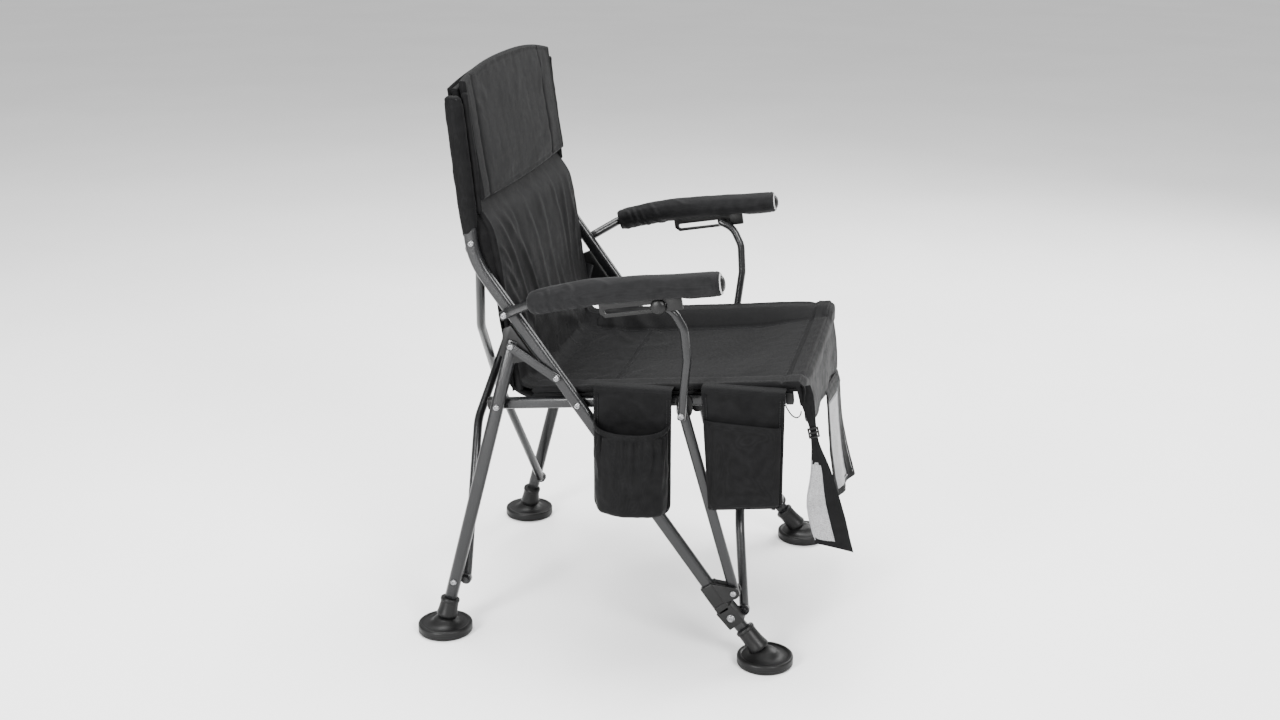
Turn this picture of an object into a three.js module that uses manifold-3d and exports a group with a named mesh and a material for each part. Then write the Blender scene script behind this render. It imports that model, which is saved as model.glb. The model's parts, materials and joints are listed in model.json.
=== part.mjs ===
// Folding hard-arm camp chair with padded seat and back, side pockets and swivelling mud feet.
// Millimetres, +Z up. The sitter faces -Y and the sitter's left is +X.
// The origin is the middle of the chair's box, on the ground.
// Each side frame is built once for the left (+X) side and mirrored for the right.
import * as THREE from 'three';
import { mergeVertices } from 'three/addons/utils/BufferGeometryUtils.js';
import Module from 'manifold-3d';

const wasm = await Module();
wasm.setup();

// ---- driving dimensions ----
const BOX_CENTRE_Y = -43.6; // the chair's box is centred here, measured from midway between the feet

// lateral layers, as distances from the centre plane
const MAIN_X = 264; // main tube and rear leg
const RAIL_X = 248;
const STRUT_X = 268;
const LINK_X = 275.2;
const POST_X = 282.6;
const ARM_X = 315;
const ARM_ROOT_X = 284;
const POCKET_X = 277;

// tube sections, thickness along X then width
const MAIN_TUBE = [16, 22];
const RAIL_TUBE = [14, 20];
const STRUT_TUBE = [11, 18];
const LINK_BAR = [3.6, 15];
const BRACE_R = 8;
const POST_R = 7;
const ARM_BAR_R = 8;

// pivots in the side view, as (y, z)
const LINK_PIN = [74, 482];
const REAR_LEG_TOP = [151, 531];
const STRUT_PIN = [-136.6, 436.4];
const SLIDER_PIN = [-226.2, 127.1];
const ARM_PIN = [156.5, 587.8];
const KNOB = [-104, 626];
const REAR_BRACE_PIN = [215, 700];
const FRONT_BRACE_PIN = [-156, 449];
const REAR_BRACE_FOOT = [251, 92];
const FRONT_BRACE_FOOT = [-240, 84];

// side-frame lines
const MAIN_FOOT = [-257.4, 41.3];
const MAIN_LOW_BEND = [-207, 98];
const MAIN_TOP_BEND = [213.3, 672.4];
const MAIN_TOP = [240.3, 932];
const REAR_LEG_FOOT = [278.8, 41.5];
const REAR_LEG_END = [148.6, 541];
const RAIL_REAR = [193, 421.3];
const RAIL_FRONT = [-306, 467.6];

// feet
const PAD_R = 47.5;
const PAD_H = 16;
const BALL_X = 268;
const BALL_Z = 14;
const BALL_R = 19;
const BALL_GAP = 0.8;
const FRONT_FOOT_Y = -281;
const REAR_FOOT_Y = 284;

// armrest
const PAD_REAR = [103, 617.6];
const PAD_FRONT = [-203, 668.3];
const ARM_PAD_R = 20;

// fabric
const SEAT_HALF = 254;
const SEAT_FRONT = -324;
const SEAT_REAR = 122;
const SEAT_SAG = 34;
const BACK_HALF = 252;
const GAP = 0.35;

// ---- materials ----
const steel = { color: 0x2e2f31, roughness: 0.55, metalness: 0.6 };
const plastic = { color: 0x161617, roughness: 0.5, metalness: 0 };
const cloth = { color: 0x1b1b1d, roughness: 0.85, metalness: 0 };
const lining = { color: 0x131314, roughness: 0.9, metalness: 0 };
const heater = { color: 0x55565a, roughness: 0.8, metalness: 0 };
const mesh = { color: 0x8d8e90, roughness: 0.8, metalness: 0 };

const chair = new THREE.Group();
chair.position.y = -BOX_CENTRE_Y;

function add(name, geometry, material) {
  const piece = new THREE.Mesh(geometry, new THREE.MeshStandardMaterial(material));
  piece.name = name;
  chair.add(piece);
  return piece;
}

function mirrorX(geometry) {
  const flipped = geometry.clone();
  flipped.scale(-1, 1, 1);
  const count = flipped.index ? flipped.index.count : flipped.attributes.position.count;
  const index = flipped.index ? Array.from(flipped.index.array) : [...Array(count).keys()];
  const turned = [];
  for (let i = 0; i < count; i += 3) {
    turned.push(index[i], index[i + 2], index[i + 1]);
  }
  flipped.setIndex(turned);
  return flipped;
}

function addPair(name, geometry, material) {
  add(`${name}_left`, geometry, material);
  add(`${name}_right`, mirrorX(geometry), material);
}

// ---- solids and booleans ----
function bare(geometry) {
  const copy = geometry.clone();
  copy.deleteAttribute('normal');
  copy.deleteAttribute('uv');
  return mergeVertices(copy, 1e-4);
}

function toSolid(geometry) {
  const source = bare(geometry);
  return new wasm.Manifold(new wasm.Mesh({
    numProp: 3,
    vertProperties: new Float32Array(source.attributes.position.array),
    triVerts: new Uint32Array(source.index.array),
  }));
}

function toGeometry(solid) {
  const result = solid.getMesh();
  const geometry = new THREE.BufferGeometry();
  geometry.setAttribute('position', new THREE.BufferAttribute(new Float32Array(result.vertProperties), 3));
  geometry.setIndex(new THREE.BufferAttribute(new Uint32Array(result.triVerts), 1));
  return geometry;
}

const cut = (body, ...tools) => toGeometry(tools.reduce((s, t) => s.subtract(toSolid(t)), toSolid(body)));
const join = (body, ...others) => toGeometry(others.reduce((s, t) => s.add(toSolid(t)), toSolid(body)));

// ---- paths and sections ----
// A polyline whose corners are rounded, sampled at its corners so that straight runs stay straight.
class BentPath extends THREE.Curve {
  constructor(corners, radius, arcSteps = 3) {
    super();
    this.stops = [];
    corners.forEach((corner, i) => {
      if (i === 0 || i === corners.length - 1) {
        const inward = corners[i === 0 ? 1 : i - 1].clone().sub(corner).normalize();
        this.stops.push([corner, i === 0 ? inward : inward.negate()]);
        return;
      }
      const before = corner.clone().sub(corners[i - 1]);
      const after = corners[i + 1].clone().sub(corner);
      const half = before.angleTo(after) / 2;
      const reach = Math.min(radius * Math.tan(half), before.length() * 0.45, after.length() * 0.45);
      before.normalize();
      after.normalize();
      const start = corner.clone().addScaledVector(before, -reach);
      const end = corner.clone().addScaledVector(after, reach);
      for (let k = 0; k <= arcSteps; k += 1) {
        const t = k / arcSteps;
        const point = start.clone().multiplyScalar((1 - t) ** 2);
        point.addScaledVector(corner, 2 * t * (1 - t)).addScaledVector(end, t * t);
        const tangent = before.clone().lerp(after, t).normalize();
        this.stops.push([point, tangent]);
      }
    });
    this.steps = this.stops.length - 1;
  }

  getPoint(t) {
    return this.stops[Math.round(t * this.steps)][0].clone();
  }

  getPointAt(t) {
    return this.getPoint(t);
  }

  getTangentAt(t) {
    return this.stops[Math.round(t * this.steps)][1].clone();
  }
}

function sweep(section, corners, radius, arcSteps) {
  const path = new BentPath(corners, radius, arcSteps);
  return new THREE.ExtrudeGeometry(section, { steps: path.steps, extrudePath: path, bevelEnabled: false });
}

function roundSection(radius, sides = 10) {
  const shape = new THREE.Shape();
  for (let i = 0; i < sides; i += 1) {
    const angle = ((i + 0.5) * 2 * Math.PI) / sides;
    const point = [radius * Math.cos(angle), radius * Math.sin(angle)];
    if (i === 0) shape.moveTo(...point);
    else shape.lineTo(...point);
  }
  shape.closePath();
  return shape;
}

const outlined = (points) => new THREE.Shape(points.map((p) => new THREE.Vector2(...p)));

// A flat-sided tube: flat faces of the given thickness apart, with corners cut to a rounded edge.
function flatSection([thickness, width], chamfer = 0.28) {
  const x = thickness / 2;
  const y = width / 2;
  const c = thickness * chamfer;
  const upper = [[x, y - c], [x - c, y], [c - x, y], [-x, y - c]];
  const lower = upper.map(([u, v]) => [-u, -v]);
  return outlined([...upper, ...lower]);
}

const at = (x, [y, z]) => new THREE.Vector3(x, y, z);

// Moves a shape drawn in (y, z) and extruded along its own z, so that it starts at x.
const SIDE_VIEW = new THREE.Matrix4().makeBasis(
  new THREE.Vector3(0, 1, 0),
  new THREE.Vector3(0, 0, 1),
  new THREE.Vector3(1, 0, 0),
);

function plate(outline, x, thickness, holes = []) {
  const shape = outline instanceof THREE.Shape ? outline : outlined(outline);
  shape.holes.push(...holes);
  const form = { depth: thickness, bevelEnabled: false, curveSegments: 5 };
  const geometry = new THREE.ExtrudeGeometry(shape, form);
  geometry.applyMatrix4(SIDE_VIEW);
  geometry.translate(x, 0, 0);
  return geometry;
}

// A bar with round ends between two points of the side view.
function roundEnded(a, b, radius, Kind = THREE.Shape) {
  const angle = Math.atan2(b[1] - a[1], b[0] - a[0]);
  const shape = new Kind();
  shape.absarc(b[0], b[1], radius, angle - Math.PI / 2, angle + Math.PI / 2, false);
  shape.absarc(a[0], a[1], radius, angle + Math.PI / 2, angle + (3 * Math.PI) / 2, false);
  shape.closePath();
  return shape;
}

// A turned piece: the profile is (radius, distance along the axis from start towards end).
function turned(profile, start, end, segments = 14) {
  const geometry = new THREE.LatheGeometry(profile.map((p) => new THREE.Vector2(...p)), segments);
  const axis = end.clone().sub(start).normalize();
  geometry.applyQuaternion(new THREE.Quaternion().setFromUnitVectors(new THREE.Vector3(0, 1, 0), axis));
  geometry.translate(start.x, start.y, start.z);
  return geometry;
}

function ball(centre, radius, segments = 12) {
  const geometry = new THREE.SphereGeometry(radius, segments, 8);
  geometry.translate(centre.x, centre.y, centre.z);
  return geometry;
}

// A closed skin between two surfaces, each a function of u and v from 0 to 1.
function skin(low, high, across, along) {
  const sheets = [low, high].map((surface) => {
    const points = [];
    for (let j = 0; j <= along; j += 1) {
      for (let i = 0; i <= across; i += 1) {
        points.push(surface(i / across, j / along));
      }
    }
    return points;
  });
  const row = across + 1;
  const size = sheets[0].length;
  const index = [];
  const quad = (a, b, c, d) => index.push(a, b, c, a, c, d);
  for (let j = 0; j < along; j += 1) {
    for (let i = 0; i < across; i += 1) {
      const a = j * row + i;
      quad(a, a + row, a + row + 1, a + 1);
      quad(size + a, size + a + 1, size + a + row + 1, size + a + row);
    }
  }
  const rim = [];
  for (let i = 0; i < across; i += 1) rim.push([i, i + 1]);
  for (let j = 0; j < along; j += 1) rim.push([j * row + across, (j + 1) * row + across]);
  for (let i = across; i > 0; i -= 1) rim.push([along * row + i, along * row + i - 1]);
  for (let j = along; j > 0; j -= 1) rim.push([j * row, (j - 1) * row]);
  rim.forEach(([a, b]) => quad(a, b, size + b, size + a));
  const geometry = new THREE.BufferGeometry();
  const position = sheets.flat().flatMap((p) => [p.x, p.y, p.z]);
  geometry.setAttribute('position', new THREE.Float32BufferAttribute(position, 3));
  geometry.setIndex(index);
  return toGeometry(outward(toSolid(geometry), geometry));
}

// Turns a closed geometry right side out.
function outward(solid, geometry) {
  if (solid.volume() > 0) return solid;
  const index = Array.from(geometry.index.array);
  for (let i = 0; i < index.length; i += 3) {
    [index[i + 1], index[i + 2]] = [index[i + 2], index[i + 1]];
  }
  geometry.setIndex(index);
  return toSolid(geometry);
}

const mix = (a, b, t) => a + (b - a) * t;

// Interpolates between (position, value) pairs, and goes straight on past the ends.
function profileLine(pairs) {
  return (s) => {
    const next = pairs.findIndex(([p]) => s <= p);
    const k = next === -1 ? pairs.length - 1 : Math.max(next, 1);
    const [p0, v0] = pairs[k - 1];
    const [p1, v1] = pairs[k];
    return mix(v0, v1, (s - p0) / (p1 - p0));
  };
}

// ---- side frame: main tube, its foot socket and the front brace's bracket ----
const mainLine = [MAIN_FOOT, MAIN_LOW_BEND, MAIN_TOP_BEND, MAIN_TOP].map((p) => at(MAIN_X, p));
const legLine = [REAR_LEG_FOOT, REAR_LEG_END].map((p) => at(MAIN_X, p));
const loose = ([thickness, width]) => flatSection([thickness + 2 * GAP, width + 2 * GAP]);
const MAIN_BEND_R = 130;
const mainTube = (section) => sweep(section, mainLine, MAIN_BEND_R);
const legTube = (section) => sweep(section, legLine, 0);

addPair('main_tube', mainTube(flatSection(MAIN_TUBE)), steel);
addPair('rear_leg', legTube(flatSection(MAIN_TUBE)), steel);

function footSocket(footY, tubeEnd, tube, length) {
  const centre = at(BALL_X, [footY, BALL_Z]);
  const profile = [[0, 12], [13, 12], [16.5, 32], [15.4, length], [0, length]];
  const cone = turned(profile, centre, at(MAIN_X, tubeEnd), 16);
  return cut(cone, ball(centre, BALL_R + BALL_GAP, 16), tube);
}

addPair('front_foot_socket', footSocket(FRONT_FOOT_Y, MAIN_FOOT, mainTube(loose(MAIN_TUBE)), 58), plastic);
addPair('rear_foot_socket', footSocket(REAR_FOOT_Y, REAR_LEG_FOOT, legTube(loose(MAIN_TUBE)), 48), plastic);

function footPad(footY) {
  const rim = [[45, 0], [PAD_R, 2.5], [PAD_R, 13.5], [45, PAD_H], [41, PAD_H], [38, 10]];
  const profile = [[0, 0], ...rim, [23, 9.5]];
  const first = Math.asin((9.5 - BALL_Z) / BALL_R);
  for (let i = 0; i <= 5; i += 1) {
    const angle = mix(first, Math.PI / 2, i / 5);
    profile.push([i === 5 ? 0 : BALL_R * Math.cos(angle), BALL_Z + BALL_R * Math.sin(angle)]);
  }
  return turned(profile, at(BALL_X, [footY, 0]), at(BALL_X, [footY, 1]), 20);
}

addPair('front_foot_pad', footPad(FRONT_FOOT_Y), plastic);
addPair('rear_foot_pad', footPad(REAR_FOOT_Y), plastic);

function box(low, high) {
  const geometry = new THREE.BoxGeometry(high[0] - low[0], high[1] - low[1], high[2] - low[2]);
  geometry.translate((low[0] + high[0]) / 2, (low[1] + high[1]) / 2, (low[2] + high[2]) / 2);
  return geometry;
}

// A point in the side view, measured along a line from its start and then squarely to its left.
function beside(from, to, along, across) {
  const length = Math.hypot(to[0] - from[0], to[1] - from[1]);
  const [c, s] = [(to[0] - from[0]) / length, (to[1] - from[1]) / length];
  return [from[0] + c * along - s * across, from[1] + s * along + c * across];
}

function strip(from, to, start, end, halfWidth) {
  const corners = [[start, -halfWidth], [end, -halfWidth], [end, halfWidth], [start, halfWidth]];
  return corners.map(([along, across]) => beside(from, to, along, across));
}

const bracketBlock = plate(strip(MAIN_LOW_BEND, MAIN_FOOT, 4, 40, 15.5), 252.5, 24.5);
const bracketLug = box([232, -230.8, 67], [256, -224.5, 84]);
addPair('brace_bracket', cut(join(bracketBlock, bracketLug), mainTube(loose(MAIN_TUBE))), plastic);

// The slider's section, seen along the main tube: a sleeve with two ears that hold the strut.
const SLIDER_EAR = 42;
const SLIDER_WALL = 14.5;
function slider() {
  const tubeDirection = at(0, MAIN_TOP_BEND).sub(at(0, MAIN_LOW_BEND)).normalize();
  const rear = new THREE.Vector3(0, tubeDirection.z, -tubeDirection.y);
  const outline = [
    [253, SLIDER_WALL], [277, SLIDER_WALL], [279.6, 8], [279.6, -SLIDER_EAR], [274.2, -SLIDER_EAR],
    [274.2, -SLIDER_WALL], [261.8, -SLIDER_WALL], [261.8, -SLIDER_EAR], [256.4, -SLIDER_EAR],
    [256.4, -17], [253, -12],
  ];
  const shape = outlined(outline.map(([x, rearward]) => [x - MAIN_X, rearward]));
  shape.holes.push(new THREE.Path(loose(MAIN_TUBE).getPoints()));
  const geometry = new THREE.ExtrudeGeometry(shape, { depth: 40, bevelEnabled: false });
  const outwards = new THREE.Vector3(1, 0, 0);
  geometry.applyMatrix4(new THREE.Matrix4().makeBasis(outwards, rear, tubeDirection));
  const foot = at(MAIN_X, MAIN_LOW_BEND).addScaledVector(tubeDirection, 5);
  geometry.translate(foot.x, foot.y, foot.z);
  return geometry;
}

addPair('slider', slider(), plastic);

// ---- side frame: rail, link, strut and their fittings ----
const railLine = [RAIL_REAR, RAIL_FRONT].map((p) => at(RAIL_X, p));
addPair('seat_rail', sweep(flatSection(RAIL_TUBE), railLine, 0), steel);
const linkOutline = roundEnded(LINK_PIN, REAR_LEG_TOP, LINK_BAR[1] / 2);
addPair('fold_link', plate(linkOutline, LINK_X - LINK_BAR[0] / 2, LINK_BAR[0]), steel);

const strutEnds = [
  beside(STRUT_PIN, SLIDER_PIN, -9, 0),
  beside(SLIDER_PIN, STRUT_PIN, -8, 0),
].map((p) => at(STRUT_X, p));
addPair('front_strut', sweep(flatSection(STRUT_TUBE), strutEnds, 0), steel);

const railBottomAtStrut = [STRUT_PIN[0], 452];
addPair('strut_bracket', plate(roundEnded(STRUT_PIN, railBottomAtStrut, 13), 255.4, 6.4), plastic);

const legBracket = [[113.5, 514], [151, 565.5], [164, 560], [171, 514], [152, 500], [131, 505]];
addPair('leg_top_bracket', cut(plate(legBracket, 257, 14), legTube(loose(MAIN_TUBE))), plastic);

// ---- braces and the knuckles that carry them ----
addPair('rear_knuckle', plate(roundEnded(REAR_BRACE_PIN, [218, 688], 12.5), 240.6, 15), plastic);
addPair('front_knuckle', plate(roundEnded(FRONT_BRACE_PIN, [-154, 441], 11.5), 226.4, 14.2), plastic);

function brace(corners, radius) {
  const overhang = corners[0].clone().sub(corners[1]).setLength(7);
  const line = [corners[0].clone().add(overhang), ...corners.slice(1)];
  return sweep(roundSection(BRACE_R), line, radius, 3);
}

const REAR_BRACE_X = 226;
const FRONT_BRACE_X = 214;
const BRACE_FOOT_X = 240;
const BRACE_PASS = 9; // each brace of a pair passes this far from their common middle

const rearBrace = (pass) => brace([
  at(REAR_BRACE_X, REAR_BRACE_PIN),
  at(95, [250 + pass, 510]),
  at(-95, [278 + pass, 335]),
  at(-BRACE_FOOT_X, REAR_BRACE_FOOT),
], 90);
const frontBrace = (pass) => brace([
  at(FRONT_BRACE_X, FRONT_BRACE_PIN),
  at(140, [-178 + pass, 320]),
  at(-185, [-211 + pass, 230]),
  at(-BRACE_FOOT_X, FRONT_BRACE_FOOT),
], 70);
add('rear_brace_left', rearBrace(-BRACE_PASS), steel);
add('rear_brace_right', mirrorX(rearBrace(BRACE_PASS)), steel);
add('front_brace_left', frontBrace(-BRACE_PASS), steel);
add('front_brace_right', mirrorX(frontBrace(BRACE_PASS)), steel);

// ---- armrest: bar, pad, slotted plate, cap, and the post with its knob ----
const padAxis = [PAD_REAR, PAD_FRONT].map((p) => at(ARM_X, p));
const padLength = padAxis[0].distanceTo(padAxis[1]);
const barLine = [
  at(ARM_ROOT_X, beside(ARM_PIN, [140, 597], -8, 0)),
  at(ARM_ROOT_X + 1, [146, 593.7]),
  padAxis[0],
  padAxis[1],
];
addPair('armrest_bar', sweep(roundSection(ARM_BAR_R), barLine, 22), steel);

const PAD_BORE = ARM_BAR_R + 0.6;
const PAD_START = 14;
const padProfile = [
  [PAD_BORE, PAD_START], [18, PAD_START], [ARM_PAD_R, PAD_START + 5],
  [21.5, 0.4 * padLength], [21, 0.7 * padLength],
  [19.5, padLength - 4], [17, padLength], [PAD_BORE, padLength], [PAD_BORE, PAD_START],
];
const KNOB_R = 8.5;
const SLOT_R = 4.3;
const SLOT_REAR = 84; // the slot reaches this far behind the knob
const SLOT_AHEAD = 26;
const PLATE_X = 311.6;
const RELIEF_X = 296; // the pad's underside is cut away from here out to the plate
const PLATE_T = 5;
const slotAhead = beside(KNOB, [KNOB[0] - 306, KNOB[1] + 50.7], 1, 0); // the slot runs along the pad
const fromKnob = (along, across) => beside(KNOB, slotAhead, along, across);
const slotEnds = [fromKnob(-SLOT_REAR, 0), fromKnob(SLOT_AHEAD, 0)];
const slotHole = roundEnded(...slotEnds, SLOT_R, THREE.Path);
const plateCorners = [[-96, -15], [38, -15], [38, 9], [-88, 9.6], [-96, 2]];
const plateOutline = plateCorners.map(([along, across]) => fromKnob(along, across));
addPair('slot_plate', plate(plateOutline, PLATE_X, PLATE_T, [slotHole]), plastic);

const reliefCorners = [[-97, -16], [39, -16], [39, 11], [-97, 11]];
const reliefOutline = reliefCorners.map(([along, across]) => fromKnob(along, across));
const plateRelief = plate(reliefOutline, RELIEF_X, PLATE_X + PLATE_T + 0.5 - RELIEF_X);
const knobRelief = plate(roundEnded(...slotEnds, KNOB_R + 2.5), PLATE_X + PLATE_T, 20);
const padBody = turned(padProfile, padAxis[0], padAxis[1], 16);
addPair('armrest_pad', cut(padBody, plateRelief, knobRelief), cloth);
const padAhead = padAxis[1].clone().multiplyScalar(2).sub(padAxis[0]);
const capProfile = [[0, 0.5], [13, 0.5], [12, 3], [7, 5.4], [0, 6]];
addPair('armrest_cap', turned(capProfile, padAxis[1], padAhead), plastic);

const postLine = [
  at(303.6, [-98, 627.5]),
  at(302, [-125, 616]),
  at(296.5, [-142, 584]),
  at(290.5, [-146, 533]),
  at(283.2, [-139, 470]),
  at(POST_X, [-136, 429]),
];
addPair('arm_post', sweep(roundSection(POST_R), postLine, 40, 2), steel);
const knobFace = at(PLATE_X + PLATE_T + 0.5, KNOB);
const knobProfile = [[0, 0], [KNOB_R, 0], [KNOB_R, 2.5], [5.5, 5], [0, 6]];
addPair('slot_knob', turned(knobProfile, knobFace, at(PLATE_X + 60, KNOB)), plastic);

// ---- seat: sling below, padded cover above, heating pad between them ----
const railMiddle = profileLine([[RAIL_FRONT[0], RAIL_FRONT[1]], [RAIL_REAR[0], RAIL_REAR[1]]]);
const railTop = (y) => railMiddle(y) + 10.1;
const seatSagAt = profileLine([[SEAT_FRONT, 0.35], [-200, 1], [40, 1], [SEAT_REAR, 0.7]]);
// The seat hangs between the rails: it drops steeply just inside them and is nearly flat across.
const sagAcross = profileLine([[0, 1], [180, 0.88], [213, 0], [SEAT_HALF, 0]]);
const seatColumn = profileLine([[0, 0], [0.4, 180], [0.6, 197], [0.8, 213], [1, SEAT_HALF]]);

function seatSurface(height, [x0, x1], [y0, y1]) {
  return (u, v) => {
    const across = mix(x0, x1, u);
    const x = Math.sign(across) * seatColumn(Math.abs(across));
    const y = mix(y0, y1, v);
    const sag = sagAcross(Math.abs(x)) * SEAT_SAG * seatSagAt(y);
    return new THREE.Vector3(x, y, railTop(y) + 1.4 + height - sag);
  };
}

function layer(surface, bottom, top, across, along, gridX, gridY) {
  return skin(surface(bottom, across, along), surface(top, across, along), gridX, gridY);
}

const SLING_T = 3;
const HEATER_T = 1.6;
const PAD_T = 12;
const PAD_UNDER = SLING_T + HEATER_T + 2 * GAP;
const fullSeat = [SEAT_FRONT, SEAT_REAR];
add('seat_sling', layer(seatSurface, 0, SLING_T, [-1, 1], fullSeat, 10, 6), lining);
add('seat_heating_pad', layer(
  seatSurface,
  SLING_T + GAP,
  SLING_T + GAP + HEATER_T,
  [-0.3, 0.3],
  [mix(...fullSeat, 1 / 6), mix(...fullSeat, 5 / 6)],
  6,
  4,
), heater);
add('seat_cover', layer(seatSurface, PAD_UNDER, PAD_UNDER + PAD_T, [-1, 1], fullSeat, 10, 6), cloth);

// ---- back: padded cover in front, sling behind, heating pad between, headrest over the top ----
const BACK_LOW = 446;
const BACK_TOP = 946;
const ARCH = 19;
const lowerBack = [[BACK_LOW, 139], [572, 160], [661, 171], [724, 184]];
const backFront = profileLine([...lowerBack, [762, 211], [970, 240]]);

function backSurface(depth, [x0, x1], [v0, v1]) {
  return (u, v) => {
    const x = mix(x0, x1, u);
    const top = BACK_TOP + ARCH * (1 - (x / BACK_HALF) ** 2);
    const rise = mix(v0, v1, v);
    const z = mix(BACK_LOW, mix(BACK_TOP, top, rise), rise);
    return new THREE.Vector3(x, backFront(z) + depth, z);
  };
}

const backSpan = [-BACK_HALF, BACK_HALF];
add('back_cover', layer(backSurface, 0, PAD_T, backSpan, [0, 1], 8, 10), cloth);
add('back_heating_pad', layer(
  backSurface,
  PAD_T + GAP,
  PAD_T + GAP + HEATER_T,
  [mix(...backSpan, 0.25), mix(...backSpan, 0.75)],
  [0.2, 0.6],
  4,
  4,
), heater);
const backBehind = PAD_T + HEATER_T + 2 * GAP;
add('back_sling', layer(backSurface, backBehind, backBehind + SLING_T, backSpan, [0, 1], 8, 10), lining);

const HEADREST_HALF = 240;
const headrestFront = profileLine([[772, 198], [870, 214], [990, 231]]);
function headrestSurface(depth) {
  return (u, v) => {
    const x = mix(-HEADREST_HALF, HEADREST_HALF, u);
    const z = mix(772, 958 + 20 * (1 - (x / HEADREST_HALF) ** 2), v);
    return new THREE.Vector3(x, headrestFront(z) + depth, z);
  };
}
add('headrest', skin(headrestSurface(0), headrestSurface(9.5), 8, 3), cloth);

// ---- side pockets, on the sitter's right ----
const WALL = 2.4;
const CUP_Y = [-119, 11];
const CUP_Z = [250, 476];
const CUP_MOUTH = 402;
function halfEllipse(inset) {
  const shape = new THREE.Shape();
  const halfY = (CUP_Y[1] - CUP_Y[0]) / 2 - 2 - inset;
  const centre = [POCKET_X + WALL - 0.4 + inset, (CUP_Y[0] + CUP_Y[1]) / 2];
  shape.absellipse(...centre, 48 - 2 * inset, halfY, -Math.PI / 2, Math.PI / 2);
  shape.closePath();
  return shape;
}

function upright(shape, low, high) {
  const depth = high - low;
  const geometry = new THREE.ExtrudeGeometry(shape, { depth, bevelEnabled: false, curveSegments: 10 });
  geometry.translate(0, 0, low);
  return geometry;
}

const cupBack = box([POCKET_X, CUP_Y[0], CUP_Z[0]], [POCKET_X + WALL, CUP_Y[1], CUP_Z[1]]);
const cupLip = box([SEAT_HALF + 0.8, CUP_Y[0], CUP_Z[1] - WALL], [POCKET_X + WALL, CUP_Y[1], CUP_Z[1]]);
const cupShell = cut(
  upright(halfEllipse(0), CUP_Z[0] + 2, CUP_MOUTH),
  upright(halfEllipse(WALL), CUP_Z[0] + 2 + WALL, CUP_MOUTH + 9),
);
add('cup_pocket', mirrorX(join(cupBack, cupLip, cupShell)), cloth);

const FLAT_Y = [-303, -167];
const FLAT_Z = [282, 486];
const FLAT_MOUTH = 424;
const FLAT_DEPTH = 14;
const flatBack = box([POCKET_X, FLAT_Y[0], FLAT_Z[0]], [POCKET_X + WALL, FLAT_Y[1], FLAT_Z[1]]);
const flatLip = box([SEAT_HALF + 0.8, FLAT_Y[0], FLAT_Z[1] - WALL], [POCKET_X + WALL, FLAT_Y[1], FLAT_Z[1]]);
const patchLow = [POCKET_X + 1, FLAT_Y[0] + 4, FLAT_Z[0] + 2];
const patchHigh = [POCKET_X + FLAT_DEPTH, FLAT_Y[1] - 4, FLAT_MOUTH];
const hollowLow = [POCKET_X + WALL, patchLow[1] + WALL, patchLow[2] + WALL];
const hollowHigh = [patchHigh[0] - WALL, patchHigh[1] - WALL, FLAT_MOUTH + 9];
const patch = cut(box(patchLow, patchHigh), box(hollowLow, hollowHigh));
add('flat_pocket', mirrorX(join(flatBack, flatLip, patch)), cloth);

// ---- hanging pieces at the seat's front: skirt, two flaps and a toggle cord ----
const CLOTH_T = 2.4;

// A hanging cloth from rows of [left point, right point], top row first.
function hanging(rows, across, along) {
  const step = 1 / (rows.length - 1);
  const edge = (side, axis) => profileLine(rows.map((row, i) => [i * step, row[side][axis]]));
  const edges = [0, 1].map((side) => [0, 1, 2].map((axis) => edge(side, axis)));
  const onEdge = (side, v) => new THREE.Vector3(...edges[side].map((line) => line(v)));
  const place = (u, v) => onEdge(0, v).lerp(onEdge(1, v), u);
  const thick = (offset) => (u, v) => {
    const du = place(1, v).sub(place(0, v));
    const dv = place(u, Math.min(1, v + 0.01)).sub(place(u, Math.max(0, v - 0.01)));
    return place(u, v).addScaledVector(du.cross(dv).normalize(), offset);
  };
  return skin(thick(-CLOTH_T / 2), thick(CLOTH_T / 2), across, along);
}

add('front_skirt', hanging([
  [[-238, -327, 478], [238, -327, 478]],
  [[-236, -333, 430], [240, -335, 425]],
  [[-150, -334, 392], [243, -337, 360]],
], 6, 4), cloth);
add('flap_left', hanging([
  [[45, -340, 377], [243, -345, 350]],
  [[70, -350, 265], [244, -356, 250]],
  [[100, -364, 158], [245, -378, 152]],
], 4, 4), mesh);
add('flap_right', hanging([
  [[-246, -322, 466], [-243, -346, 464]],
  [[-246, -342, 408], [-241, -354, 398]],
  [[-245, -345, 345], [-224, -376, 336]],
  [[-243, -341, 278], [-206, -399, 258]],
  [[-238, -357, 213], [-190, -418, 181]],
], 3, 8), mesh);

const CORD_R = 1.1;
const cordLine = [[-300, 455.5], [-303, 449], [-311, 438], [-319, 434.5], [-324.5, 439], [-326, 446]];
const cordPath = new THREE.CatmullRomCurve3(cordLine.map((p) => at(-RAIL_X, p)));
const cordShape = { steps: 12, extrudePath: cordPath, bevelEnabled: false };
add('toggle_cord', new THREE.ExtrudeGeometry(roundSection(CORD_R, 8), cordShape), lining);

export default chair;
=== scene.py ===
"""Looks of the folding camp chair: smooth tubes, fittings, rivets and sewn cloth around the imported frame.
Lengths in the design tables are millimetres. Their y is measured from midway between the feet."""
import json
import math

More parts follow.
